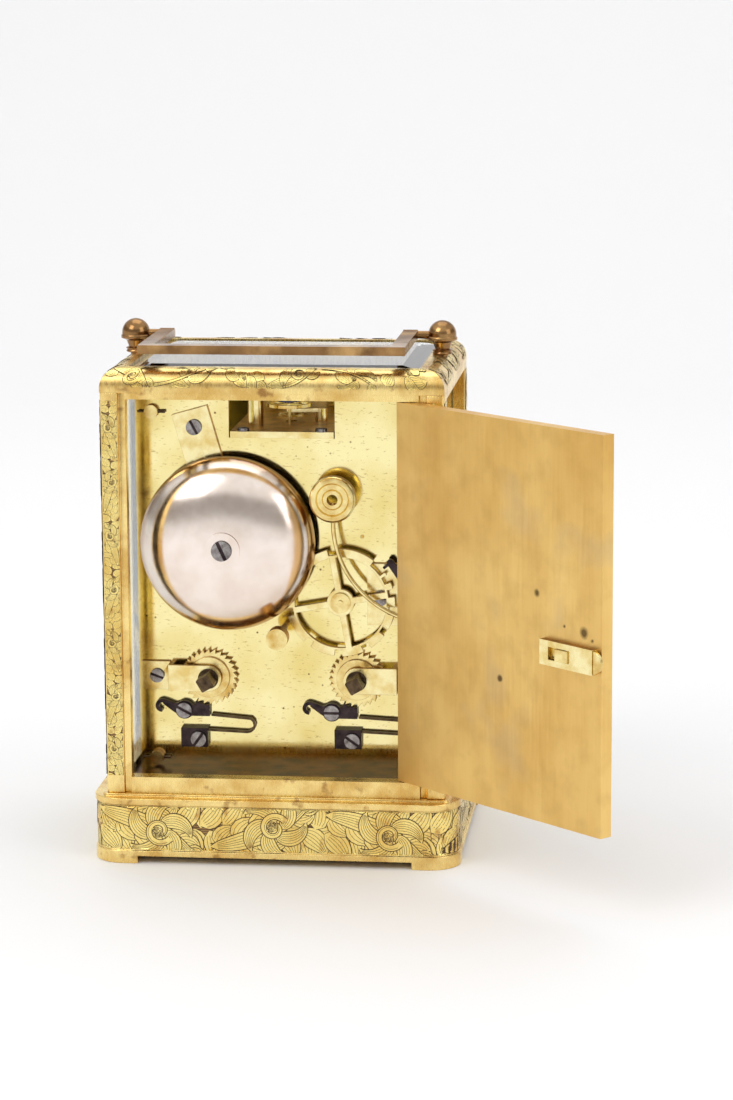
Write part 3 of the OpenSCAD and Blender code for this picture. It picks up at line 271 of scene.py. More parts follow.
def engraved_ground():
    """The sunk ground of the engraving: fine cut lines, dark with old lacquer and with painted shade in the
    cuts, brass between.
    """
    material, tree, shader, place = blank("engraved_ground", 1.0, 0.42)
    hatching = 1 / (0.26 * MM) / 6.2832
    lines = add(tree, "ShaderNodeTexWave", {"Vector": place, "Scale": hatching, "Distortion": 1.2,
                "Detail": 2.0, "Detail Scale": 2.0}, bands_direction="Z")
    cut = add(tree, "ShaderNodeMapRange", {"Value": lines.outputs["Fac"], "From Min": 0.25, "From Max": 0.6})
    patches = blotches(tree, place, 5, 0.35, 0.65)
    dark = mixed(tree, patches, linear("#7C6048"), linear("#564232"))
    bright = mixed(tree, patches, linear("#B6945E"), linear("#96774E"))
    # cut lines darkened: old lacquer, with painted shade in the cuts
    coloured(tree, shader, mixed(tree, cut.outputs[0], dark, bright))
    bumped(tree, shader, cut.outputs[0], 0.5, 0.04)
    return material


def cut_line():
    """A graver's cut: dark with wax and dirt, and with painted shade of the cut's hollow."""
    material, tree, shader, place = blank("graver_cut", 0.4, 0.7)
    mask = blotches(tree, place, 1.5, 0.4, 0.7)
    # dark brown: wax and dirt, with painted shade in the cut
    coloured(tree, shader, mixed(tree, mask, linear("#4C3722"), linear("#6B4F30")))
    return material


def plate_brass():
    """Polished, lacquered movement plate: pale lemon, with pits and fine hairlines of old cleaning."""
    material, tree, shader, place = blank("polished_plate_brass", 1.0)
    cloud = blotches(tree, place, 14, 0.35, 0.7)
    colour = mixed(tree, cloud, linear("#F8ECB0"), linear("#EAD68A"))
    pits = add(tree, "ShaderNodeTexVoronoi", {"Vector": place, "Scale": 1 / (3.4 * MM), "Randomness": 1.0})
    pit = add(tree, "ShaderNodeMapRange", {"Value": pits.outputs["Distance"], "From Min": 0.05,
              "From Max": 0.10, "To Min": 1.0, "To Max": 0.0})
    few = blotches(tree, place, 9, 0.48, 0.53)
    spots = add(tree, "ShaderNodeMath", {0: pit.outputs[0], 1: few}, operation="MULTIPLY")
    colour = mixed(tree, spots.outputs[0], colour, linear("#6B4A26"))
    hair = blotches(tree, place, 1.3, 0.64, 0.67, stretch=(1, 1, 4.0), detail=8.0)
    scratch = add(tree, "ShaderNodeMath", {0: hair, 1: 0.6}, operation="MULTIPLY")
    colour = mixed(tree, scratch.outputs[0], colour, linear("#A98340"))
    coloured(tree, shader, colour)
    roughened(tree, shader, cloud, 0.07, 0.16)
    bumped(tree, shader, blotches(tree, place, 2.0, 0.2, 0.8), 0.06, 0.05)
    return material


def wheel_brass(name="turned_wheel_brass", light="#F4E2A0", dark="#D3AC5C", rough=0.14):
    """Turned and polished brass of wheels, cocks and bridges: cleaner and glossier than the case."""
    material, tree, shader, place = blank(name, 1.0)
    mask = blotches(tree, place, 4, 0.4, 0.68)
    coloured(tree, shader, mixed(tree, mask, linear(light), linear(dark)))
    fine = blotches(tree, place, 0.35, 0.3, 0.7)
    roughened(tree, shader, fine, rough, rough + 0.12)
    return material


def door_brass():
    """The door's bare inner face: brass brushed up and down, clouded brown where lacquer has gone."""
    material, tree, shader, place = blank("brushed_door_brass", 1.0)
    cloud = blotches(tree, place, 26, 0.36, 0.66, stretch=(1, 1, 0.6), detail=3.0)
    small = blotches(tree, place, 6, 0.45, 0.75, detail=6.0)
    colour = mixed(tree, cloud, linear("#F4D083"), linear("#E0B466"))
    colour = mixed(tree, add(tree, "ShaderNodeMath", {0: small, 1: 0.3}, operation="MULTIPLY").outputs[0],
                   colour, linear("#C0944E"))
    grey = blotches(tree, place, 17, 0.58, 0.72, detail=2.0)
    colour = mixed(tree, add(tree, "ShaderNodeMath", {0: grey, 1: 0.4}, operation="MULTIPLY").outputs[0],
                   colour, linear("#CDB48A"))
    # dark spots where damp has stood: closed-door places in mm, carried round by the door's angle
    for x, z, radius in DOOR_SPOTS:
        centre = on_open_door(x, z)
        away = add(tree, "ShaderNodeVectorMath", {0: place, 1: centre}, operation="DISTANCE")
        ragged = {0: small, 1: 0.8 * MM, 2: away.outputs["Value"]}
        edge = add(tree, "ShaderNodeMath", ragged, operation="MULTIPLY_ADD")
        spot = add(tree, "ShaderNodeMapRange", {"Value": edge.outputs[0], "From Min": radius * MM * 0.6,
                   "From Max": radius * MM * 1.3, "To Min": 0.85, "To Max": 0.0})
        colour = mixed(tree, spot.outputs[0], colour, linear("#4A3420"))
    coloured(tree, shader, colour)
    brush = blotches(tree, place, 0.6, 0.3, 0.7, stretch=(1, 1, 0.04), detail=6.0)
    roughened(tree, shader, brush, 0.30, 0.50)
    bumped(tree, shader, brush, 0.15, 0.02)
    return material


def bell_metal():
    """Polished high-tin bell metal: a rosy silver mirror, with a painted reflection that browns it towards the
    rim.
    """
    material, tree, shader, place = blank("polished_bell_metal", 1.0)
    low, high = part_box("bell")
    centre = [(low[0] + high[0]) / 2, 0, (low[2] + high[2]) / 2]
    flat = add(tree, "ShaderNodeVectorMath", {0: place, 1: (1, 0, 1)}, operation="MULTIPLY")
    radius = add(tree, "ShaderNodeVectorMath", {0: flat.outputs[0], 1: centre}, operation="DISTANCE")
    reach = (high[0] - low[0]) / 2
    # painted reflection: the colour browns towards the rim
    rim = add(tree, "ShaderNodeMapRange", {"Value": radius.outputs["Value"], "From Min": 0.90 * reach,
              "From Max": reach}, interpolation_type="SMOOTHSTEP")
    haze = blotches(tree, place, 7, 0.4, 0.7)
    colour = mixed(tree, haze, linear("#F6E9DF"), linear("#E9D8CB"))
    colour = mixed(tree, rim.outputs[0], colour, linear("#C0997A"))
    coloured(tree, shader, colour)
    roughened(tree, shader, blotches(tree, place, 3, 0.3, 0.8), 0.15, 0.24)
    return material


def bronzed_brass():
    """Handle and finials: gilding gone, brass toned to bronze, rubbed lighter in patches."""
    material, tree, shader, place = blank("bronzed_brass", 1.0)
    mask = blotches(tree, place, 7, 0.3, 0.72, detail=3.0)
    colour = mixed(tree, mask, linear("#A67F52"), linear("#755637"))
    bright = blotches(tree, place, 8, 0.52, 0.74)
    colour = mixed(tree, bright, colour, linear("#C69F68"))
    coloured(tree, shader, colour)
    roughened(tree, shader, mask, 0.16, 0.26)
    return material


def steel(name, light, dark, rough):
    """Hardened clockmaker's steel: bright, blued or blackened, with a fine even polish."""
    material, tree, shader, place = blank(name, 1.0)
    mask = blotches(tree, place, 1.8, 0.35, 0.7)
    coloured(tree, shader, mixed(tree, mask, linear(light), linear(dark)))
    fine = blotches(tree, place, 0.25, 0.3, 0.7, stretch=(1, 1, 0.3))
    roughened(tree, shader, fine, rough, rough + 0.14)
    return material


def floor_brass():
    """Inside floor and cover: brass coloured dark brown."""
    material, tree, shader, place = blank("dark_brown_floor_brass", 1.0, 0.24)
    mask = blotches(tree, place, 5, 0.38, 0.66, detail=6.0)
    coloured(tree, shader, mixed(tree, mask, linear("#80501C"), linear("#3A230C")))
    return material


def pane_glass():
    """Ground and polished plate glass, clear, with a faint grey body."""
    material, tree, shader, place = blank("plate_glass")
    shader.inputs["Base Color"].default_value = linear("#F6FAF9")
    shader.inputs["Transmission Weight"].default_value = 1.0
    shader.inputs["IOR"].default_value = 1.5
    roughened(tree, shader, blotches(tree, place, 12, 0.5, 0.8), 0.0, 0.05)
    return material


def white_enamel():
    """Fired white enamel: very slightly warm, glassy, with the least unevenness."""
    material, tree, shader, place = blank("fired_white_enamel", roughness=0.12)
    mask = blotches(tree, place, 10, 0.3, 0.8)
    coloured(tree, shader, mixed(tree, mask, linear("#F6F3EA"), linear("#EDE8DA")))
    shader.inputs["Coat Weight"].default_value = 0.4
    return material


def black_enamel():
    """Painted black figures, fired on the enamel."""
    material, tree, shader, place = blank("fired_black_paint", roughness=0.3)
    mask = blotches(tree, place, 2, 0.3, 0.8)
    coloured(tree, shader, mixed(tree, mask, linear("#14130F"), linear("#26241F")))
    return material


FINISH = {}


def make_finishes():
    """Makes every finish once, by its plain name."""
    FINISH.update(
        gilt=gilt_brass(), ground=engraved_ground(), cut=cut_line(), plate=plate_brass(), wheel=wheel_brass(),
        pale=wheel_brass("lacquered_cock_brass", "#F8EBB2", "#E4C87C", 0.12),
        door=door_brass(), bell=bell_metal(), bronze=bronzed_brass(),
        screw=steel("polished_screw_steel", "#A9A4A2", "#6E6664", 0.2),
        # blackened steel of levers, clicks and blocks; on the screws it is painted shade on head walls and slot
        # floors
        black=steel("blackened_steel_and_screw_shade", "#4B3F40", "#2B2426", 0.3),
        blue=steel("heat_blued_steel", "#2C3F7A", "#1A2348", 0.18),
        arbor=steel("browned_arbor_steel", "#6A5742", "#3E3226", 0.25),
        floor=floor_brass(), glass=pane_glass(),
        # darker brass for the walls of wheels, cocks, bridges and plates: painted shade
        deep=wheel_brass("painted_shade_brass_walls", "#C28E3E", "#8A5F28", 0.25),
        enamel=white_enamel(), paint=black_enamel(),
        leaf=gilt_brass("burnished_gilt_leaf", "#FFE894", "#F0CE74", "#CDA25A"),
    )


# ---- Places on the object ----

DOOR_ANGLE = math.radians(136.4)
DOOR_SPOTS = [(30.8, 71.0, 1.4), (1.4, 55.0, 0.9), (14.4, 78.3, 1.1), (33.6, 69.5, 0.7), (24.0, 71.5, 0.6)]


def joint_place(name):
    """Where a joint stands, in metres."""
    return Vector(next(j for j in frame["joints"] if j["name"] == name)["pos_m"])


def on_open_door(x, z, y=31.0):
    """A place given on the closed door, in millimetres, turned to where the open door has it."""
    hinge = joint_place("door_hinge")
    arm = Vector((x * MM - hinge.x, y * MM - hinge.y, 0))
    turned = Matrix.Rotation(DOOR_ANGLE, 3, "Z") @ arm
    return (hinge.x + turned.x, hinge.y + turned.y, z * MM)


def middle(node):
    """The middle of a node's box, in metres."""
    low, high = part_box(node)
    return (Vector(low) + Vector(high)) / 2


# ---- Engraving ----

# what a face of the engraving is, in the order of its materials
GROUND, LEAF, CUT = 0, 1, 2
# what a leaf is, and where the fine cuts run along it, as shares of its half width
STEM, BLADE, ROLL = 0, 1, 2
VEINS = {STEM: (), BLADE: (-0.66, -0.3, 0.0, 0.3, 0.66), ROLL: (0.4,)}
# heights over the metal, in mm: ground and first leaf, then what a leaf's face, its crown, its veins
# and the next leaf add to that
GROUND_LIFT, LEAF_LIFT = 0.012, 0.015
FACE_STEP, CROWN, VEIN_STEP, LEAF_STEP = 0.002, 0.0015, 0.0045, 0.006


def leaf_line(start, heading, length, bend, steps=12):
    """A leaf's middle line: it sets off in a heading and bends steadily (radians in all)."""
    points, spot, angle = [], Vector(start), heading
    for i in range(steps + 1):
        points.append((spot.x, spot.y, angle))
        spot = spot + Vector((math.cos(angle), math.sin(angle))) * length / steps
        angle += bend / steps
    return points


def leaf_width(t):
    """Half width of a leaf along its length, as a share of its widest."""
    return math.sin(math.pi * t**0.72) ** 0.8


def acanthus(line, spread, lobes, tip):
    """An acanthus leaf: lobes in pairs that overlap towards its tip, then the midrib over them."""
    parts = []
    last = len(line) - 1
    for k in range(lobes):
        t = 0.06 + 0.80 * k / (lobes - 1)
        s, h, heading = line[round(t * last)]
        reach = spread * (0.55 + 0.45 * math.sin(math.pi * min(t + 0.15, 1.0)))
        for side in (-1, 1):
            lobe = leaf_line((s, h), heading + side * (1.05 - 0.35 * t), reach, -side * 0.9, 6)
            parts.append((lobe, 0.38 * reach, BLADE))
    s, h, heading = line[round(0.84 * last)]
    parts.append((leaf_line((s, h), heading, tip, 0.3, 6), 0.28 * spread, BLADE))
    parts.append((line[: round(0.9 * last)], 0.07 * spread, STEM))
    return parts


def volute(middle_s, middle_h, radius, turn, spin):
    """A rolled end of a scroll: a ribbon that winds in to its eye, with a bud of three leaves."""
    line = []
    for k in range(25):
        t = k / 24
        angle = spin + turn * t * 1.55 * math.tau / 1.2
        r = radius * (1 - 0.80 * t)
        line.append((middle_s + r * math.cos(angle), middle_h + r * math.sin(angle),
                     angle + turn * (math.pi / 2 + 0.2)))
    parts = [(line, 0.22 * radius, ROLL)]
    for k in range(3):
        lean = spin + turn * (0.4 + 1.1 * k)
        bud = leaf_line((middle_s, middle_h), lean, 0.55 * radius, turn * 0.8, 6)
        parts.append((bud, 0.17 * radius, BLADE))
    return parts


def scroll(length, height, cell, luck, sparse=False):
    """An acanthus scroll that fills a band: short leaves behind, then sweeping ones and rolled ends."""
    count = max(2, round(length / cell))
    cell = length / count
    lobes = 6 if height > 8 else 5
    fillers = round(2.0 * cell / height)
    behind, parts = [], []
    for i in range(count):
        middle_s = (i + 0.5) * cell - length / 2
        side = 1 if i % 2 else -1
        for k in range(-1, fillers + 1):
            s = middle_s + (k / fillers - 0.5) * cell
            for row in (-1, 1):
                lean = side * 0.25 + row * (0.45 + 0.5 * luck.random())
                reach = height * (0.74 + 0.18 * luck.random())
                spot = (s + 0.06 * cell * row, row * height * (0.02 + 0.08 * luck.random()))
                behind.append((leaf_line(spot, lean, reach, row, 8), 0.24 * height, BLADE))
        foot = (middle_s - 0.55 * cell, -side * 0.40 * height)
        sweep = leaf_line(foot, side * 0.12, 1.06 * cell, side * 0.75, 18)
        parts += acanthus(sweep, 0.74 * height, lobes, 0.50 * height)
        parts.append((sweep, 0.20 * height, BLADE))
        curl_h = side * 0.06 * height
        for k in range(5):
            a = math.tau * k / 5
            spot = (middle_s + 0.16 * height * math.cos(a), curl_h + 0.16 * height * math.sin(a))
            petal = leaf_line(spot, a + side * 0.7, 0.90 * height, side * 2.1, 12)
            parts.append((petal, 0.17 * height, BLADE))
        parts += volute(middle_s, curl_h, 0.31 * height, side, 0.6 * side)
    under = len(behind) // count
    layers = [(*leaf, i % under) for i, leaf in enumerate(behind)]
    layers += [(*leaf, under + i % (len(parts) // count)) for i, leaf in enumerate(parts)]
    return layers[len(behind) :: 3] if sparse else layers


class Band:
    """Collects an engraved band's faces: ground, leaves with their dark outline, and veins."""

    def __init__(self, place, length, height, bare=False):
        self.place, self.length, self.height, self.bare = place, length, height, bare
        self.points, self.faces, self.kinds = [], [], []

    def ribbon(self, line, halves, lift, kind, crown=0.0):
        """A strip along a line of (s, h, heading), with its half widths, lifted off the surface."""
        edge_s, edge_h = self.length / 2, self.height / 2
        first = len(self.points)
        shoulder = 0.45
        across = (-1, -shoulder, 0, shoulder, 1) if crown else (-1, 1)
        for (s, h, heading), half in zip(line, halves):
            for a in across:
                ss = min(max(s - math.sin(heading) * half * a, -edge_s), edge_s)
                hh = min(max(h + math.cos(heading) * half * a, -edge_h), edge_h)
                self.points.append(self.place(ss, hh, lift + (crown if abs(a) == shoulder else 0)))
        n = len(across)
        for i in range(len(line) - 1):
            for k in range(n - 1):
                a = first + i * n + k
                self.faces.append((a, a + n, a + n + 1, a + 1))
                self.kinds.append(kind)

    def ground(self):
        """The band's hatched ground."""
        steps = max(8, round(self.length / 2))
        rows = 6
        first = len(self.points)
        for i in range(steps + 1):
            for k in range(rows + 1):
                s, h = (i / steps - 0.5) * self.length, (k / rows - 0.5) * self.height
                self.points.append(self.place(s, h, GROUND_LIFT))
        for i in range(steps):
            for k in range(rows):
                a = first + i * (rows + 1) + k
                self.faces.append((a, a + rows + 1, a + rows + 2, a + 1))
                self.kinds.append(GROUND)

    def leaf(self, line, half, kind, outline, lift):
        """One leaf in its dark outline: a plain stem, a veined blade or a rolled ribbon."""
        last = len(line) - 1
        if kind == BLADE:
            shares = [max(leaf_width(i / last), 0.05) for i in range(last + 1)]
        else:
            shares = [1 - 0.6 * i / last for i in range(last + 1)]
        self.ribbon(line, [half * w + outline for w in shares], lift, CUT)
        self.ribbon(line, [half * w for w in shares], lift + FACE_STEP, LEAF, crown=CROWN)
        for share in VEINS[kind]:
            vein = [(s - math.sin(a) * half * w * share, h + math.cos(a) * half * w * share, a)
                    for (s, h, a), w in zip(line, shares)][1:-1]
            self.ribbon(vein, [0.25 * outline] * len(vein), lift + VEIN_STEP, CUT)

    def fill(self, cell, luck):
        """Lays a scroll over the whole band, each leaf a hair above the one before."""
        if not self.bare:
            self.ground()
        parts = scroll(self.length, self.height, cell, luck, self.bare)
        outline = min(0.24, 0.018 * self.height + 0.03)
        for line, half, kind, layer in parts:
            self.leaf(line, half, kind, outline, LEAF_LIFT + LEAF_STEP * layer)


def engraving(name, bands, cell, seed):
    """One piece from several bands, riding on the case."""
    luck = random.Random(seed)
    points, faces, kinds = [], [], []
    for band in bands:
        band.fill(cell, luck)
        first = len(points)
        points += band.points
        faces += [tuple(first + i for i in face) for face in band.faces]
        kinds += band.kinds
    metals = (FINISH["ground"], FINISH["leaf"], FINISH["cut"])
    thing = mesh_from(name, points, faces, metals, kinds, smooth=True)
    return carried(thing, "case", "gilt_case")


def round_walk(width, depth, radius):
    """From distance round a rounded rectangle, counted from the middle of its rear, to place and normal."""
    straights = [width - 2 * radius, depth - 2 * radius] * 2
    corner = math.pi / 2 * radius
    total = sum(straights) + 4 * corner

    def walk(s):
        s = (s + straights[0] / 2) % total
        for side in range(4):
            half_x, half_y = (width / 2, depth / 2) if side % 2 == 0 else (depth / 2, width / 2)
            spin = Matrix.Rotation(math.radians(90 * side), 2)
            if s <= straights[side]:
                local = Vector((half_x - radius - s, half_y))
                return spin @ local, spin @ Vector((0, 1))
            s -= straights[side]
            if s <= corner:
                angle = math.pi / 2 + s / radius
                normal = Vector((math.cos(angle), math.sin(angle)))
                centre = Vector((-half_x + radius, half_y - radius))
                return spin @ (centre + normal * radius), spin @ normal
            s -= corner
        return walk(0)

    return walk, total


def plinth_band(size):
    """The engraved field round the plinth."""
    low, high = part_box("base_plinth")
    bead = size.plinth_bead / MM
    width, depth = (high[0] - low[0]) / MM - 2 * bead, (high[1] - low[1]) / MM - 2 * bead
    walk, total = round_walk(width, depth, size.plinth_corner / MM - bead)
    foot, top = size.field_low / MM, size.field_high / MM

    def place(s, h, lift):
        spot, normal = walk(s)
        spot = spot + normal * lift
        return Vector((spot.x, spot.y, (foot + top) / 2 + h)) * MM

    return Band(place, total - 0.02, top - foot - 0.5)


def upright_bands():
    """The engraved strips on the outer faces of the four pillars, a broad and a narrow one on each."""
    low, high = (Vector(c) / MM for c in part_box("corner_pillars"))
    inner, margin, narrow_width, narrow_back = 38.9, 0.5, 5.4, 3.3
    z_low, z_high = low.z + 4.6, high.z - 2.0
    z_middle = (z_low + z_high) / 2
    bands = []
    for sx in (-1, 1):
        for sy in (-1, 1):

            def broad(s, h, lift, sx=sx, sy=sy):
                x = sx * ((inner + high.x - margin) / 2 + h * -sy)
                return Vector((x, sy * (high.y + lift), z_middle + s)) * MM

            def narrow(s, h, lift, sx=sx, sy=sy):
                y = sy * (high.y - narrow_back + h * sx)
                return Vector((sx * (high.x + lift), y, z_middle + s)) * MM

            bands.append(Band(broad, z_high - z_low, high.x - margin - inner))
            bands.append(Band(narrow, z_high - z_low, narrow_width))
    return bands


def cornice_bands():
    """The engraved leaf border on the four rounded sides of the cornice."""
    low, high = (Vector(c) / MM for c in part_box("top_cornice"))
    foot, end_gap, side_gap = 1.2, 0.6, 0.5
    radius = high.z - low.z - foot
    bands = []
    for side in range(4):
        half_x, half_y = (high.x, high.y) if side % 2 == 0 else (high.y, high.x)
        spin = Matrix.Rotation(math.radians(90 * side), 3, "Z")

        def place(s, h, lift, half_x=half_x, half_y=half_y, spin=spin):
            angle = math.radians(45) + h / radius
            inset = radius * (1 - math.cos(angle))
            y = half_y - inset + lift * math.cos(angle)
            z = low.z + foot + (radius + lift) * math.sin(angle)
            return spin @ Vector((-s * (half_x - inset) / half_x, y, z)) * MM

        bands.append(Band(place, 2 * half_x - end_gap, radius * math.pi / 2 - side_gap, bare=True))
    return bands


def mask_bands():
    """Engraved panels above and below the dial on the gilt mask."""
    low, high = (Vector(c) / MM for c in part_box("dial_mask"))
    centre = joint_place("minute_turn").z / MM
    border, opening, panel = 4, 29.5, 66
    bands = []
    for top, bottom in ((high.z - border, centre + opening), (centre - opening, low.z + border)):

        def place(s, h, lift, top=top, bottom=bottom):
            return Vector((s, low.y - lift, (top + bottom) / 2 + h)) * MM

        bands.append(Band(place, panel, top - bottom))
    return bands


# ---- Rings of like marks, by Geometry Nodes ----


def ring_tree():
    """A tree that sets bars evenly round a circle, as a dial's minute marks."""
    tree = bpy.data.node_groups.new("bars_round_a_circle", "GeometryNodeTree")
    sockets = {}
    for label, kind in (("Count", "Int"), ("Radius", "Float"), ("Bar", "Vector"), ("Material", "Material")):
        socket = tree.interface.new_socket(label, in_out="INPUT", socket_type="NodeSocket" + kind)
        sockets[label] = socket.identifier
    tree.interface.new_socket("Geometry", in_out="OUTPUT", socket_type="NodeSocketGeometry")
    given = add(tree, "NodeGroupInput").outputs
    circle = add(tree, "GeometryNodeCurvePrimitiveCircle", {"Resolution": 128, "Radius": given["Radius"]})
    spots = add(tree, "GeometryNodeCurveToPoints",
                {"Curve": circle.outputs[0], "Count": given["Count"]}, mode="COUNT")
    bar = add(tree, "GeometryNodeMeshCube", {"Size": given["Bar"]})
    turned = add(tree, "GeometryNodeInstanceOnPoints", {"Points": spots.outputs["Points"],
                 "Instance": bar.outputs[0], "Rotation": spots.outputs["Rotation"]})
    real = add(tree, "GeometryNodeRealizeInstances", {0: turned.outputs[0]})
    coated = add(tree, "GeometryNodeSetMaterial",
                 {"Geometry": real.outputs[0], "Material": given["Material"]})
    add(tree, "NodeGroupOutput", {"Geometry": coated.outputs[0]})
    return tree, sockets


def ring(name, count, radius_mm, bar_mm, material, origin, axis=(0, -1, 0)):
    """A ring of bars as a plain mesh, laid round an axis. Each bar's size is given out, up and round."""
    tree, sockets = ring_tree()
    holder = link_object(name + "_maker", bpy.data.meshes.new(name + "_maker"))
    maker = holder.modifiers.new("ring", "NODES")
    maker.node_group = tree
    maker[sockets["Count"]] = count
    maker[sockets["Radius"]] = radius_mm * MM
    maker[sockets["Bar"]] = [b * MM for b in bar_mm]
    maker[sockets["Material"]] = material
    mesh = settled(holder, name)
    turn = Vector(axis).to_track_quat("Z", "Y").to_matrix().to_4x4()
    mesh.transform(Matrix.Translation(origin) @ turn)
    return link_object(name, mesh)


# ---- Settings ----


class CaseSizes(bpy.types.PropertyGroup):
    """Sizes of the case's finishing."""

    edge: FloatProperty(name="Broken edge", 
                        description="Width of the case's broken edges", default=0.25 * MM, unit="LENGTH")
    plinth_bead: FloatProperty(name="Plinth bead", 
                               description="Stand-out of the plinth's bands", default=0.5 * MM, unit="LENGTH")
    plinth_corner: FloatProperty(name="Plinth corner", 
                                 description="Corner radius", default=8 * MM, unit="LENGTH")
    field_low: FloatProperty(name="Field foot", 
                             description="Foot of the engraved field", default=3.5 * MM, unit="LENGTH")
    field_high: FloatProperty(name="Field top", 
                              description="Top of the engraved field", default=15.2 * MM, unit="LENGTH")
    plinth_cell: FloatProperty(name="Plinth scroll", 
                               description="Length of one turn of scroll", default=30 * MM, unit="LENGTH")
    pillar_cell: FloatProperty(name="Pillar scroll", 
                               description="Length of one turn of scroll", default=14 * MM, unit="LENGTH")
    seed: IntProperty(name="Seed", description="Seed of the leaves' unevenness", default=7)


class MovementSizes(bpy.types.PropertyGroup):
    """Sizes of the movement's finishing."""

    edge: FloatProperty(name="Broken edge", 
                        description="Width of broken edges", default=0.08 * MM, unit="LENGTH")
    rim_bead: FloatProperty(name="Bell bead", 
                            description="Radius of the bead at the bell's rim", default=0.45 * MM, unit="LENGTH")


class StageSettings(bpy.types.PropertyGroup):
    """Light and backdrop."""

    floor_colour: FloatVectorProperty(name="Floor", description="Colour of the floor and backdrop",
                                      subtype="COLOR", default=linear("#EDEDEE")[:3])
    key_power: FloatProperty(name="Key light", 
                             description="Power of the key softbox", default=9.0, unit="POWER")
    fill_power: FloatProperty(name="Fill light", 
                              description="Power of the fill softbox", default=4.0, unit="POWER")


# ---- Pieces ----


class CLOCK_OT_case(bpy.types.Operator):
    """Dresses the case: plinth, pillars, rails, cornice and floor"""

    bl_idname = "clock.case"
    bl_label = "Case"

    def execute(self, context):
        size = context.scene.clock_case
        edge = size.edge / MM
        for node in ("base_plinth", "corner_pillars", "frame_rails", "top_cornice"):
            worked(node, node + "_gilt", [FINISH["gilt"]], edge)
        worked("floor_plate", "case_floor", [FINISH["floor"]], edge)
        worked("base_cover", "bottom_cover", [FINISH["floor"]], edge)
        finish_node("door_pivots", FINISH["wheel"])
        return {"FINISHED"}


class CLOCK_OT_engraving(bpy.types.Operator):
    """Engraves the plinth, pillars, cornice and dial mask with acanthus scroll"""

    bl_idname = "clock.engraving"
    bl_label = "Engraving"

    def execute(self, context):
        size = context.scene.clock_case
        cell = size.plinth_cell / MM
        engraving("plinth_engraving", [plinth_band(size)], cell, size.seed)
        uprights = upright_bands()
        for i in range(4):
            pair = uprights[2 * i : 2 * i + 2]
            engraving(f"pillar_engraving_{i + 1}", pair, size.pillar_cell / MM, size.seed + 10 + i)
        engraving("cornice_engraving", cornice_bands(), cell / 2, size.seed + 2)
        engraving("mask_engraving", mask_bands(), cell, size.seed + 3)
        return {"FINISHED"}


class CLOCK_OT_glasses(bpy.types.Operator):
    """Glazes the case"""

    bl_idname = "clock.glasses"
    bl_label = "Glasses"

    def execute(self, context):
        for node in ("glass_left", "glass_right", "glass_front", "glass_top"):
            finish_node(node, FINISH["glass"])
        return {"FINISHED"}


class CLOCK_OT_handle(bpy.types.Operator):
    """Dresses the carrying handle and its finials"""

    bl_idname = "clock.handle"
    bl_label = "Handle and finials"

    def execute(self, context):
        worked("carrying_handle", "handle_bronze", [FINISH["bronze"]], 0.45, body="handle")
        worked("finials", "finials_bronze", [FINISH["bronze"]], 0.10)
        return {"FINISHED"}


class CLOCK_OT_door(bpy.types.Operator):
    """Dresses the rear door and its catch"""

    bl_idname = "clock.door"
    bl_label = "Rear door"

    def execute(self, context):
        worked("rear_door", "rear_door_brushed", [FINISH["door"]], 0.25, body="door")
        # the catch's walls take the darker brass: painted shade
        walls = [FINISH["pale"], FINISH["deep"]]
        worked("catch_housing", "catch_case", walls, 0.18, body="door")
        worked("catch_bolt", "catch_bolt_worn", [FINISH["wheel"]], 0.15, body="catch")
        return {"FINISHED"}


class CLOCK_OT_bell(bpy.types.Operator):
    """Turns the bell, with its beaded rim"""

    bl_idname = "clock.bell"
    bl_label = "Bell"

    def execute(self, context):
        low, high = (Vector(c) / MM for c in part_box("bell"))
        reach, height = (high.x - low.x) / 2, high.y - low.y
        bead = context.scene.clock_movement.rim_bead / MM
        wall, hole, steps = 0.9, 1.25, 40
        shoulder, crown = 0.82, 0.9
        turns = [math.pi / 2 * i / steps for i in range(steps + 1)]
        outer = [(max(reach * math.sin(a) ** shoulder, hole), height * math.cos(a) ** crown) for a in turns]
        inner = [(max(r - wall, hole), max(h - wall, 0.0)) for r, h in reversed(outer)]
        turned = [p for p in outer if p[0] > hole] + [(reach, 0)] + [p for p in inner if p[0] > hole]
        turned = [(hole, height), *turned, (hole, height - wall), (hole, height)]
        centre = (middle("bell").x, low.y * MM, middle("bell").z)
        bell = revolved("bell_polished", turned, centre, (0, 1, 0), [FINISH["bell"]])
        carried(bell, "case", "bell_metal", "bell")
        circle = [(reach - bead + bead * math.cos(a), bead + bead * math.sin(a)) for a in
                  (math.tau * i / 12 for i in range(13))]
        rim = revolved("bell_rim_bead", circle, centre, (0, 1, 0), [FINISH["bell"]])
        carried(rim, "case", "bell_metal")
        return {"FINISHED"}


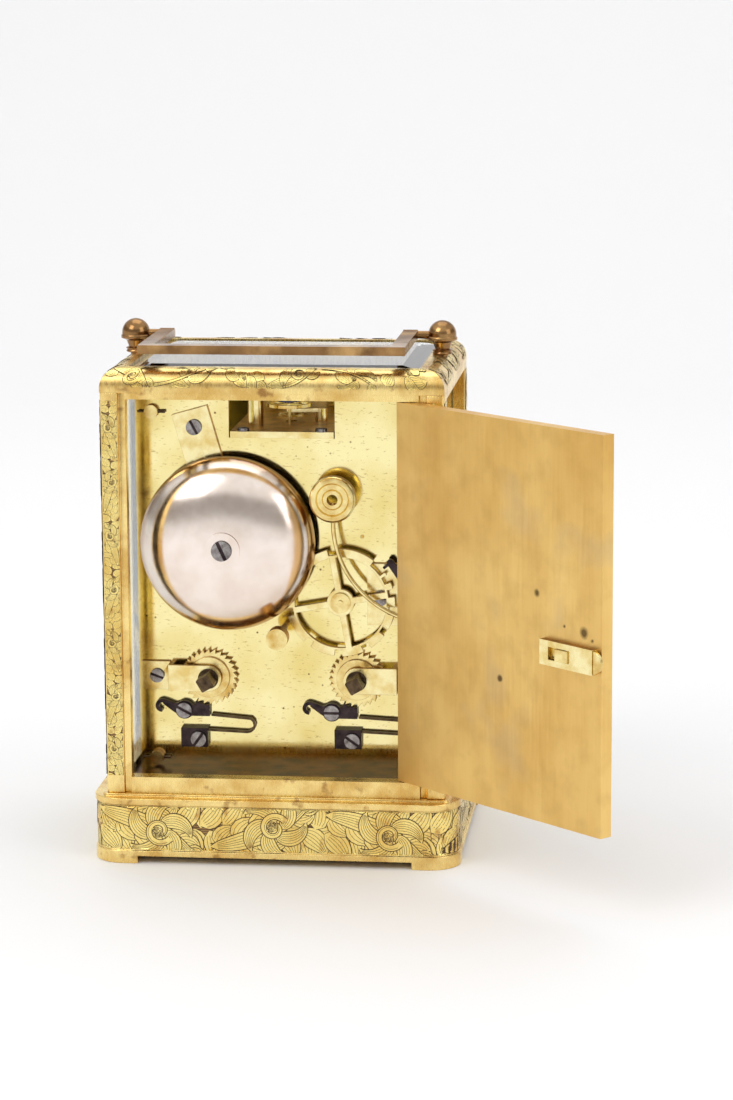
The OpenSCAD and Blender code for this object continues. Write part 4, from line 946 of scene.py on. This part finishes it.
class CLOCK_OT_movement(bpy.types.Operator):
    """Dresses the plates and all that stands on the back plate"""

    bl_idname = "clock.movement"
    bl_label = "Movement"

    def execute(self, context):
        edge = context.scene.clock_movement.edge / MM
        jobs = (
            ("back_plate", "plate", "case"),
            ("front_plate", "plate", "case"),
            ("plate_pillars", "wheel", "case"),
            ("taper_pins", "arbor", "case"),
            ("movement_screws", "screw", "case"),
            ("bell_stand", "pale", "case"),
            ("hammer_arbor", "wheel", "hammer"),
            ("hammer_head", "wheel", "hammer"),
            ("count_wheel", "pale", "count"),
            ("detent_lever", "black", "detent"),
            ("detent_cock", "pale", "case"),
            ("going_arbor", "arbor", "going_winding"),
            ("strike_arbor", "arbor", "strike_winding"),
            ("going_ratchet", "wheel", "going_winding"),
            ("strike_ratchet", "wheel", "strike_winding"),
            ("winding_bridges", "pale", "case"),
            ("going_click", "black", "going_click_body"),
            ("strike_click", "black", "strike_click_body"),
            ("spring_blocks", "black", "case"),
            ("going_click_spring", "arbor", "case"),
            ("strike_click_spring", "arbor", "case"),
            ("set_arbor", "wheel", "setting"),
            ("platform_plate", "pale", "case"),
            ("platform_cocks", "pale", "case"),
        )
        # walls take darker brass, and the screws' head walls blackened steel: painted shade
        walls = {"pale": "deep", "wheel": "deep", "plate": "deep", "screw": "black"}
        for node, finish, body in jobs:
            layers = [FINISH[name] for name in (finish, walls.get(finish)) if name]
            thing = worked(node, node + "_finished", layers, edge, body=body)
            if node == "movement_screws":
                self.shade_slots_and_washer(thing.data)
        inner = ("count_arbor", "going_barrel", "strike_barrel", "intermediate_wheel", "centre_wheel",
                 "third_wheel", "contrate_wheel", "pin_wheel", "locking_wheel", "fly", "escape_wheel",
                 "balance_wheel", "hour_wheel")
        for node in inner:
            finish_node(node, FINISH["wheel"])
        finish_node("hairspring", FINISH["blue"])
        finish_node("cannon_pinion", FINISH["screw"])
        return {"FINISHED"}

    def shade_slots_and_washer(self, mesh):
        """Paints shade on the floors of the screws' slots with blackened steel, and gives the bell's washer the
        bell's polish.
        """
        washer, slot_depth, dark, bright = (2.65, 5), 0.15 * MM, 1, 2
        mesh.materials.append(FINISH["bell"])
        bm = bmesh.new()
        bm.from_mesh(mesh)
        centre, seen = middle("bell"), set()
        for seed in bm.faces:
            if seed in seen:
                continue
            island, edge = {seed}, [seed]
            while edge:
                near = {f for e in edge.pop().edges for f in e.link_faces} - island
                island |= near
                edge += near
            seen |= island
            top = max(v.co.y for f in island for v in f.verts)
            for face in island:
                out = max(math.hypot(v.co.x - centre.x, v.co.z - centre.z) for v in face.verts) / MM
                if washer[0] < out < washer[1]:
                    face.material_index = bright
                # slot floors take blackened steel: painted shade in the slots
                elif face.normal.y > 0.9 and top - face.verts[0].co.y > slot_depth:
                    face.material_index = dark
        bm.to_mesh(mesh)
        bm.free()


class CLOCK_OT_dial(bpy.types.Operator):
    """Paints the dial and dresses its mask and hands"""

    bl_idname = "clock.dial"
    bl_label = "Dial"

    def execute(self, context):
        worked("dial_mask", "dial_mask_gilt", [FINISH["gilt"]], 0.15)
        finish_node("dial", FINISH["enamel"])
        worked("hour_hand", "hour_hand_blued", [FINISH["blue"]], 0.05, body="hour")
        worked("minute_hand", "minute_hand_blued", [FINISH["blue"]], 0.05, body="minute")
        axis = joint_place("minute_turn")
        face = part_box("dial")[0][1]
        centre = (0, face - 0.01 * MM, axis.z)
        radius = 24.6
        marks = ring("minute_marks", 60, radius, (1.3, 0.06, 0.16), FINISH["paint"], centre)
        carried(marks, "case", "dial_enamel")
        fives = ring("five_minute_marks", 12, radius, (1.5, 0.07, 0.5), FINISH["paint"], centre)
        carried(fives, "case", "dial_enamel")
        return {"FINISHED"}


class CLOCK_OT_numerals(bpy.types.Operator):
    """Paints Roman hour figures round the dial"""

    bl_idname = "clock.numerals"
    bl_label = "Hour figures"

    def execute(self, context):
        # each letter's strokes: from, to and width, in its own half width and half height
        strokes = {"I": [((0, -1), (0, 1), 0.30)],
                   "V": [((-0.75, 1), (0, -1), 0.32), ((0.75, 1), (0, -1), 0.14)],
                   "X": [((-0.75, 1), (0.75, -1), 0.32), ((0.75, 1), (-0.75, -1), 0.14)]}
        widths = {"I": 0.95, "V": 2.0, "X": 2.0}
        figures = ["XII", "I", "II", "III", "IIII", "V", "VI", "VII", "VIII", "IX", "X", "XI"]
        half, radius, serif, serif_share, widest, boldness = 2.7, 20.3, 0.30, 0.52, 5.4, 1.5
        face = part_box("dial")[0][1] - 0.03 * MM
        axis = joint_place("minute_turn")
        points, faces = [], []

        def bar(p, q, width, spin):
            along = (q - p).normalized()
            side = Vector((-along.y, along.x)) * width / 2
            first = len(points)
            for corner in (p - side, p + side, q + side, q - side):
                turned = spin @ Vector((corner.x, corner.y + radius))
                points.append(Vector((turned.x * MM, face, axis.z + turned.y * MM)))
            faces.append((first, first + 1, first + 2, first + 3))

        for hour, figure in enumerate(figures):
            spin = Matrix.Rotation(-math.tau * hour / 12, 2)
            total = sum(widths[c] for c in figure)
            squeeze = min(1.0, widest / total)
            x = -total / 2 * squeeze
            for letter in figure:
                mid = x + widths[letter] * squeeze / 2
                for (ax, ay), (bx, by), width in strokes[letter]:
                    start = Vector((mid + ax * squeeze, ay * half))
                    bar(start, Vector((mid + bx * squeeze, by * half)), width * boldness, spin)
                reach = widths[letter] * squeeze * serif_share
                for end in (-half, half):
                    bar(Vector((mid - reach, end)), Vector((mid + reach, end)), serif, spin)
                x += widths[letter] * squeeze
        thing = mesh_from("hour_figures", points, faces, (FINISH["paint"],))
        carried(thing, "case", "dial_enamel")
        return {"FINISHED"}


class CLOCK_OT_stage(bpy.types.Operator):
    """Sets the floor, backdrop, lamps and camera"""

    bl_idname = "clock.stage"
    bl_label = "Stage"

    def execute(self, context):
        settings = context.scene.clock_stage
        material, _, shader, _ = blank("matt_white_paper", roughness=0.7)
        shader.inputs["Base Color"].default_value = [*settings.floor_colour, 1]
        shader.inputs["Specular IOR Level"].default_value = 0.2
        width, front, back, bend, height = 3.0, 1.6, -1.3, 0.5, 1.8
        profile = [(front, 0.0)]
        for i in range(13):
            a = math.pi / 2 * i / 12
            profile.append((back + bend - bend * math.sin(a), bend - bend * math.cos(a)))
        profile.append((back, height))
        points = [(x, y, z) for y, z in profile for x in (-width / 2, width / 2)]
        faces = [(2 * i, 2 * i + 1, 2 * i + 3, 2 * i + 2) for i in range(len(profile) - 1)]
        mesh_from("paper_sweep", points, faces, (material,), smooth=True)

        self.lamp("key_softbox", (0.9, 1.1, 1.3), (0, 0, 0.07), 1.0, settings.key_power)
        self.lamp("fill_softbox", (-1.3, 0.7, 0.7), (0, 0, 0.07), 0.9, settings.fill_power)
        self.lamp("top_softbox", (0.0, -0.4, 1.5), (0, 0, 0.05), 1.2, settings.key_power * 0.6)
        self.world(context)
        self.camera(context)
        context.scene.view_settings.view_transform = "Standard"
        return {"FINISHED"}

    def lamp(self, name, place, target, side, power):
        """A square softbox that faces a point."""
        light = bpy.data.lights.new(name, "AREA")
        light.shape = "SQUARE"
        light.size = side
        light.energy = power
        thing = bpy.data.objects.new(name, light)
        thing.location = place
        thing.rotation_euler = (Vector(target) - Vector(place)).to_track_quat("-Z", "Y").to_euler()
        bpy.context.scene.collection.objects.link(thing)

    def world(self, context):
        """A studio room: bright low down, grey walls, bright overhead; the camera itself sees white."""
        room = bpy.data.worlds.new("studio_room")
        context.scene.world = room
        room.use_nodes = True
        tree = room.node_tree
        tree.nodes.clear()
        ray = add(tree, "ShaderNodeTexCoord").outputs["Generated"]
        parts = add(tree, "ShaderNodeSeparateXYZ", {0: ray})
        up = parts.outputs["Z"]
        wall = add(tree, "ShaderNodeMapRange", {"Value": up, "From Min": 0.0, "From Max": 0.16},
                   interpolation_type="SMOOTHSTEP")
        sky = add(tree, "ShaderNodeMapRange", {"Value": up, "From Min": 0.38, "From Max": 0.55},
                  interpolation_type="SMOOTHSTEP")
        colour = mixed(tree, wall.outputs[0], linear("#F8F8F8"), linear("#A8A5A2"))
        colour = mixed(tree, sky.outputs[0], colour, linear("#FAFAFA"))
        back = add(tree, "ShaderNodeBackground", {"Color": colour, "Strength": 1.0})
        white = add(tree, "ShaderNodeBackground", {"Color": linear("#F4F4F5"), "Strength": 1.0})
        seen = add(tree, "ShaderNodeLightPath").outputs["Is Camera Ray"]
        mix = add(tree, "ShaderNodeMixShader", {0: seen, 1: back.outputs[0], 2: white.outputs[0]})
        add(tree, "ShaderNodeOutputWorld", {"Surface": mix.outputs[0]})

    def camera(self, context):
        """The camera at the photograph's viewing angle."""
        data = bpy.data.cameras.new("view_camera")
        focal_px, image_px, sensor_mm = 3364.65, 1100, 36.0
        data.sensor_width = sensor_mm
        data.lens = sensor_mm * focal_px / image_px
        data.clip_start = 0.01
        thing = bpy.data.objects.new("view_camera", data)
        right, up = Vector((-0.99404, -0.10906, 0)), Vector((0.02025, -0.18457, 0.98261))
        forward = Vector((0.10716, -0.97675, -0.18568))
        roll = math.radians(-0.337)
        side = right * math.cos(roll) + up * math.sin(roll)
        top = up * math.cos(roll) - right * math.sin(roll)
        matrix = Matrix((side, top, -forward)).transposed().to_4x4()
        matrix.translation = Vector((-0.1137, 0.8550, 0.2375))
        thing.matrix_world = matrix
        context.scene.collection.objects.link(thing)
        context.scene.camera = thing


class CLOCK_PT_panel(bpy.types.Panel):
    """Lists the clock's pieces"""

    bl_idname = "CLOCK_PT_panel"
    bl_label = "Carriage clock"
    bl_space_type = "VIEW_3D"
    bl_region_type = "UI"
    bl_category = "Clock"

    def draw(self, context):
        for name in GROUPS:
            group = getattr(context.scene, name)
            for key in group.__annotations__:
                self.layout.prop(group, key)
        for operator in OPERATORS:
            self.layout.operator(operator.bl_idname)


OPERATORS = (CLOCK_OT_case, CLOCK_OT_engraving, CLOCK_OT_glasses, CLOCK_OT_handle, CLOCK_OT_door,
             CLOCK_OT_bell, CLOCK_OT_movement, CLOCK_OT_dial, CLOCK_OT_numerals, CLOCK_OT_stage)
GROUPS = {"clock_case": CaseSizes, "clock_movement": MovementSizes, "clock_stage": StageSettings}


def register():
    for group in GROUPS.values():
        bpy.utils.register_class(group)
    for name, group in GROUPS.items():
        setattr(bpy.types.Scene, name, PointerProperty(type=group))
    for operator in OPERATORS:
        bpy.utils.register_class(operator)
    bpy.utils.register_class(CLOCK_PT_panel)


def unregister():
    bpy.utils.unregister_class(CLOCK_PT_panel)
    for operator in reversed(OPERATORS):
        bpy.utils.unregister_class(operator)
    for name, group in GROUPS.items():
        delattr(bpy.types.Scene, name)
        bpy.utils.unregister_class(group)


def main():
    register()
    make_finishes()
    for operator in OPERATORS:
        group, name = operator.bl_idname.split(".")
        getattr(getattr(bpy.ops, group), name)()


if __name__ == "__main__":
    main()
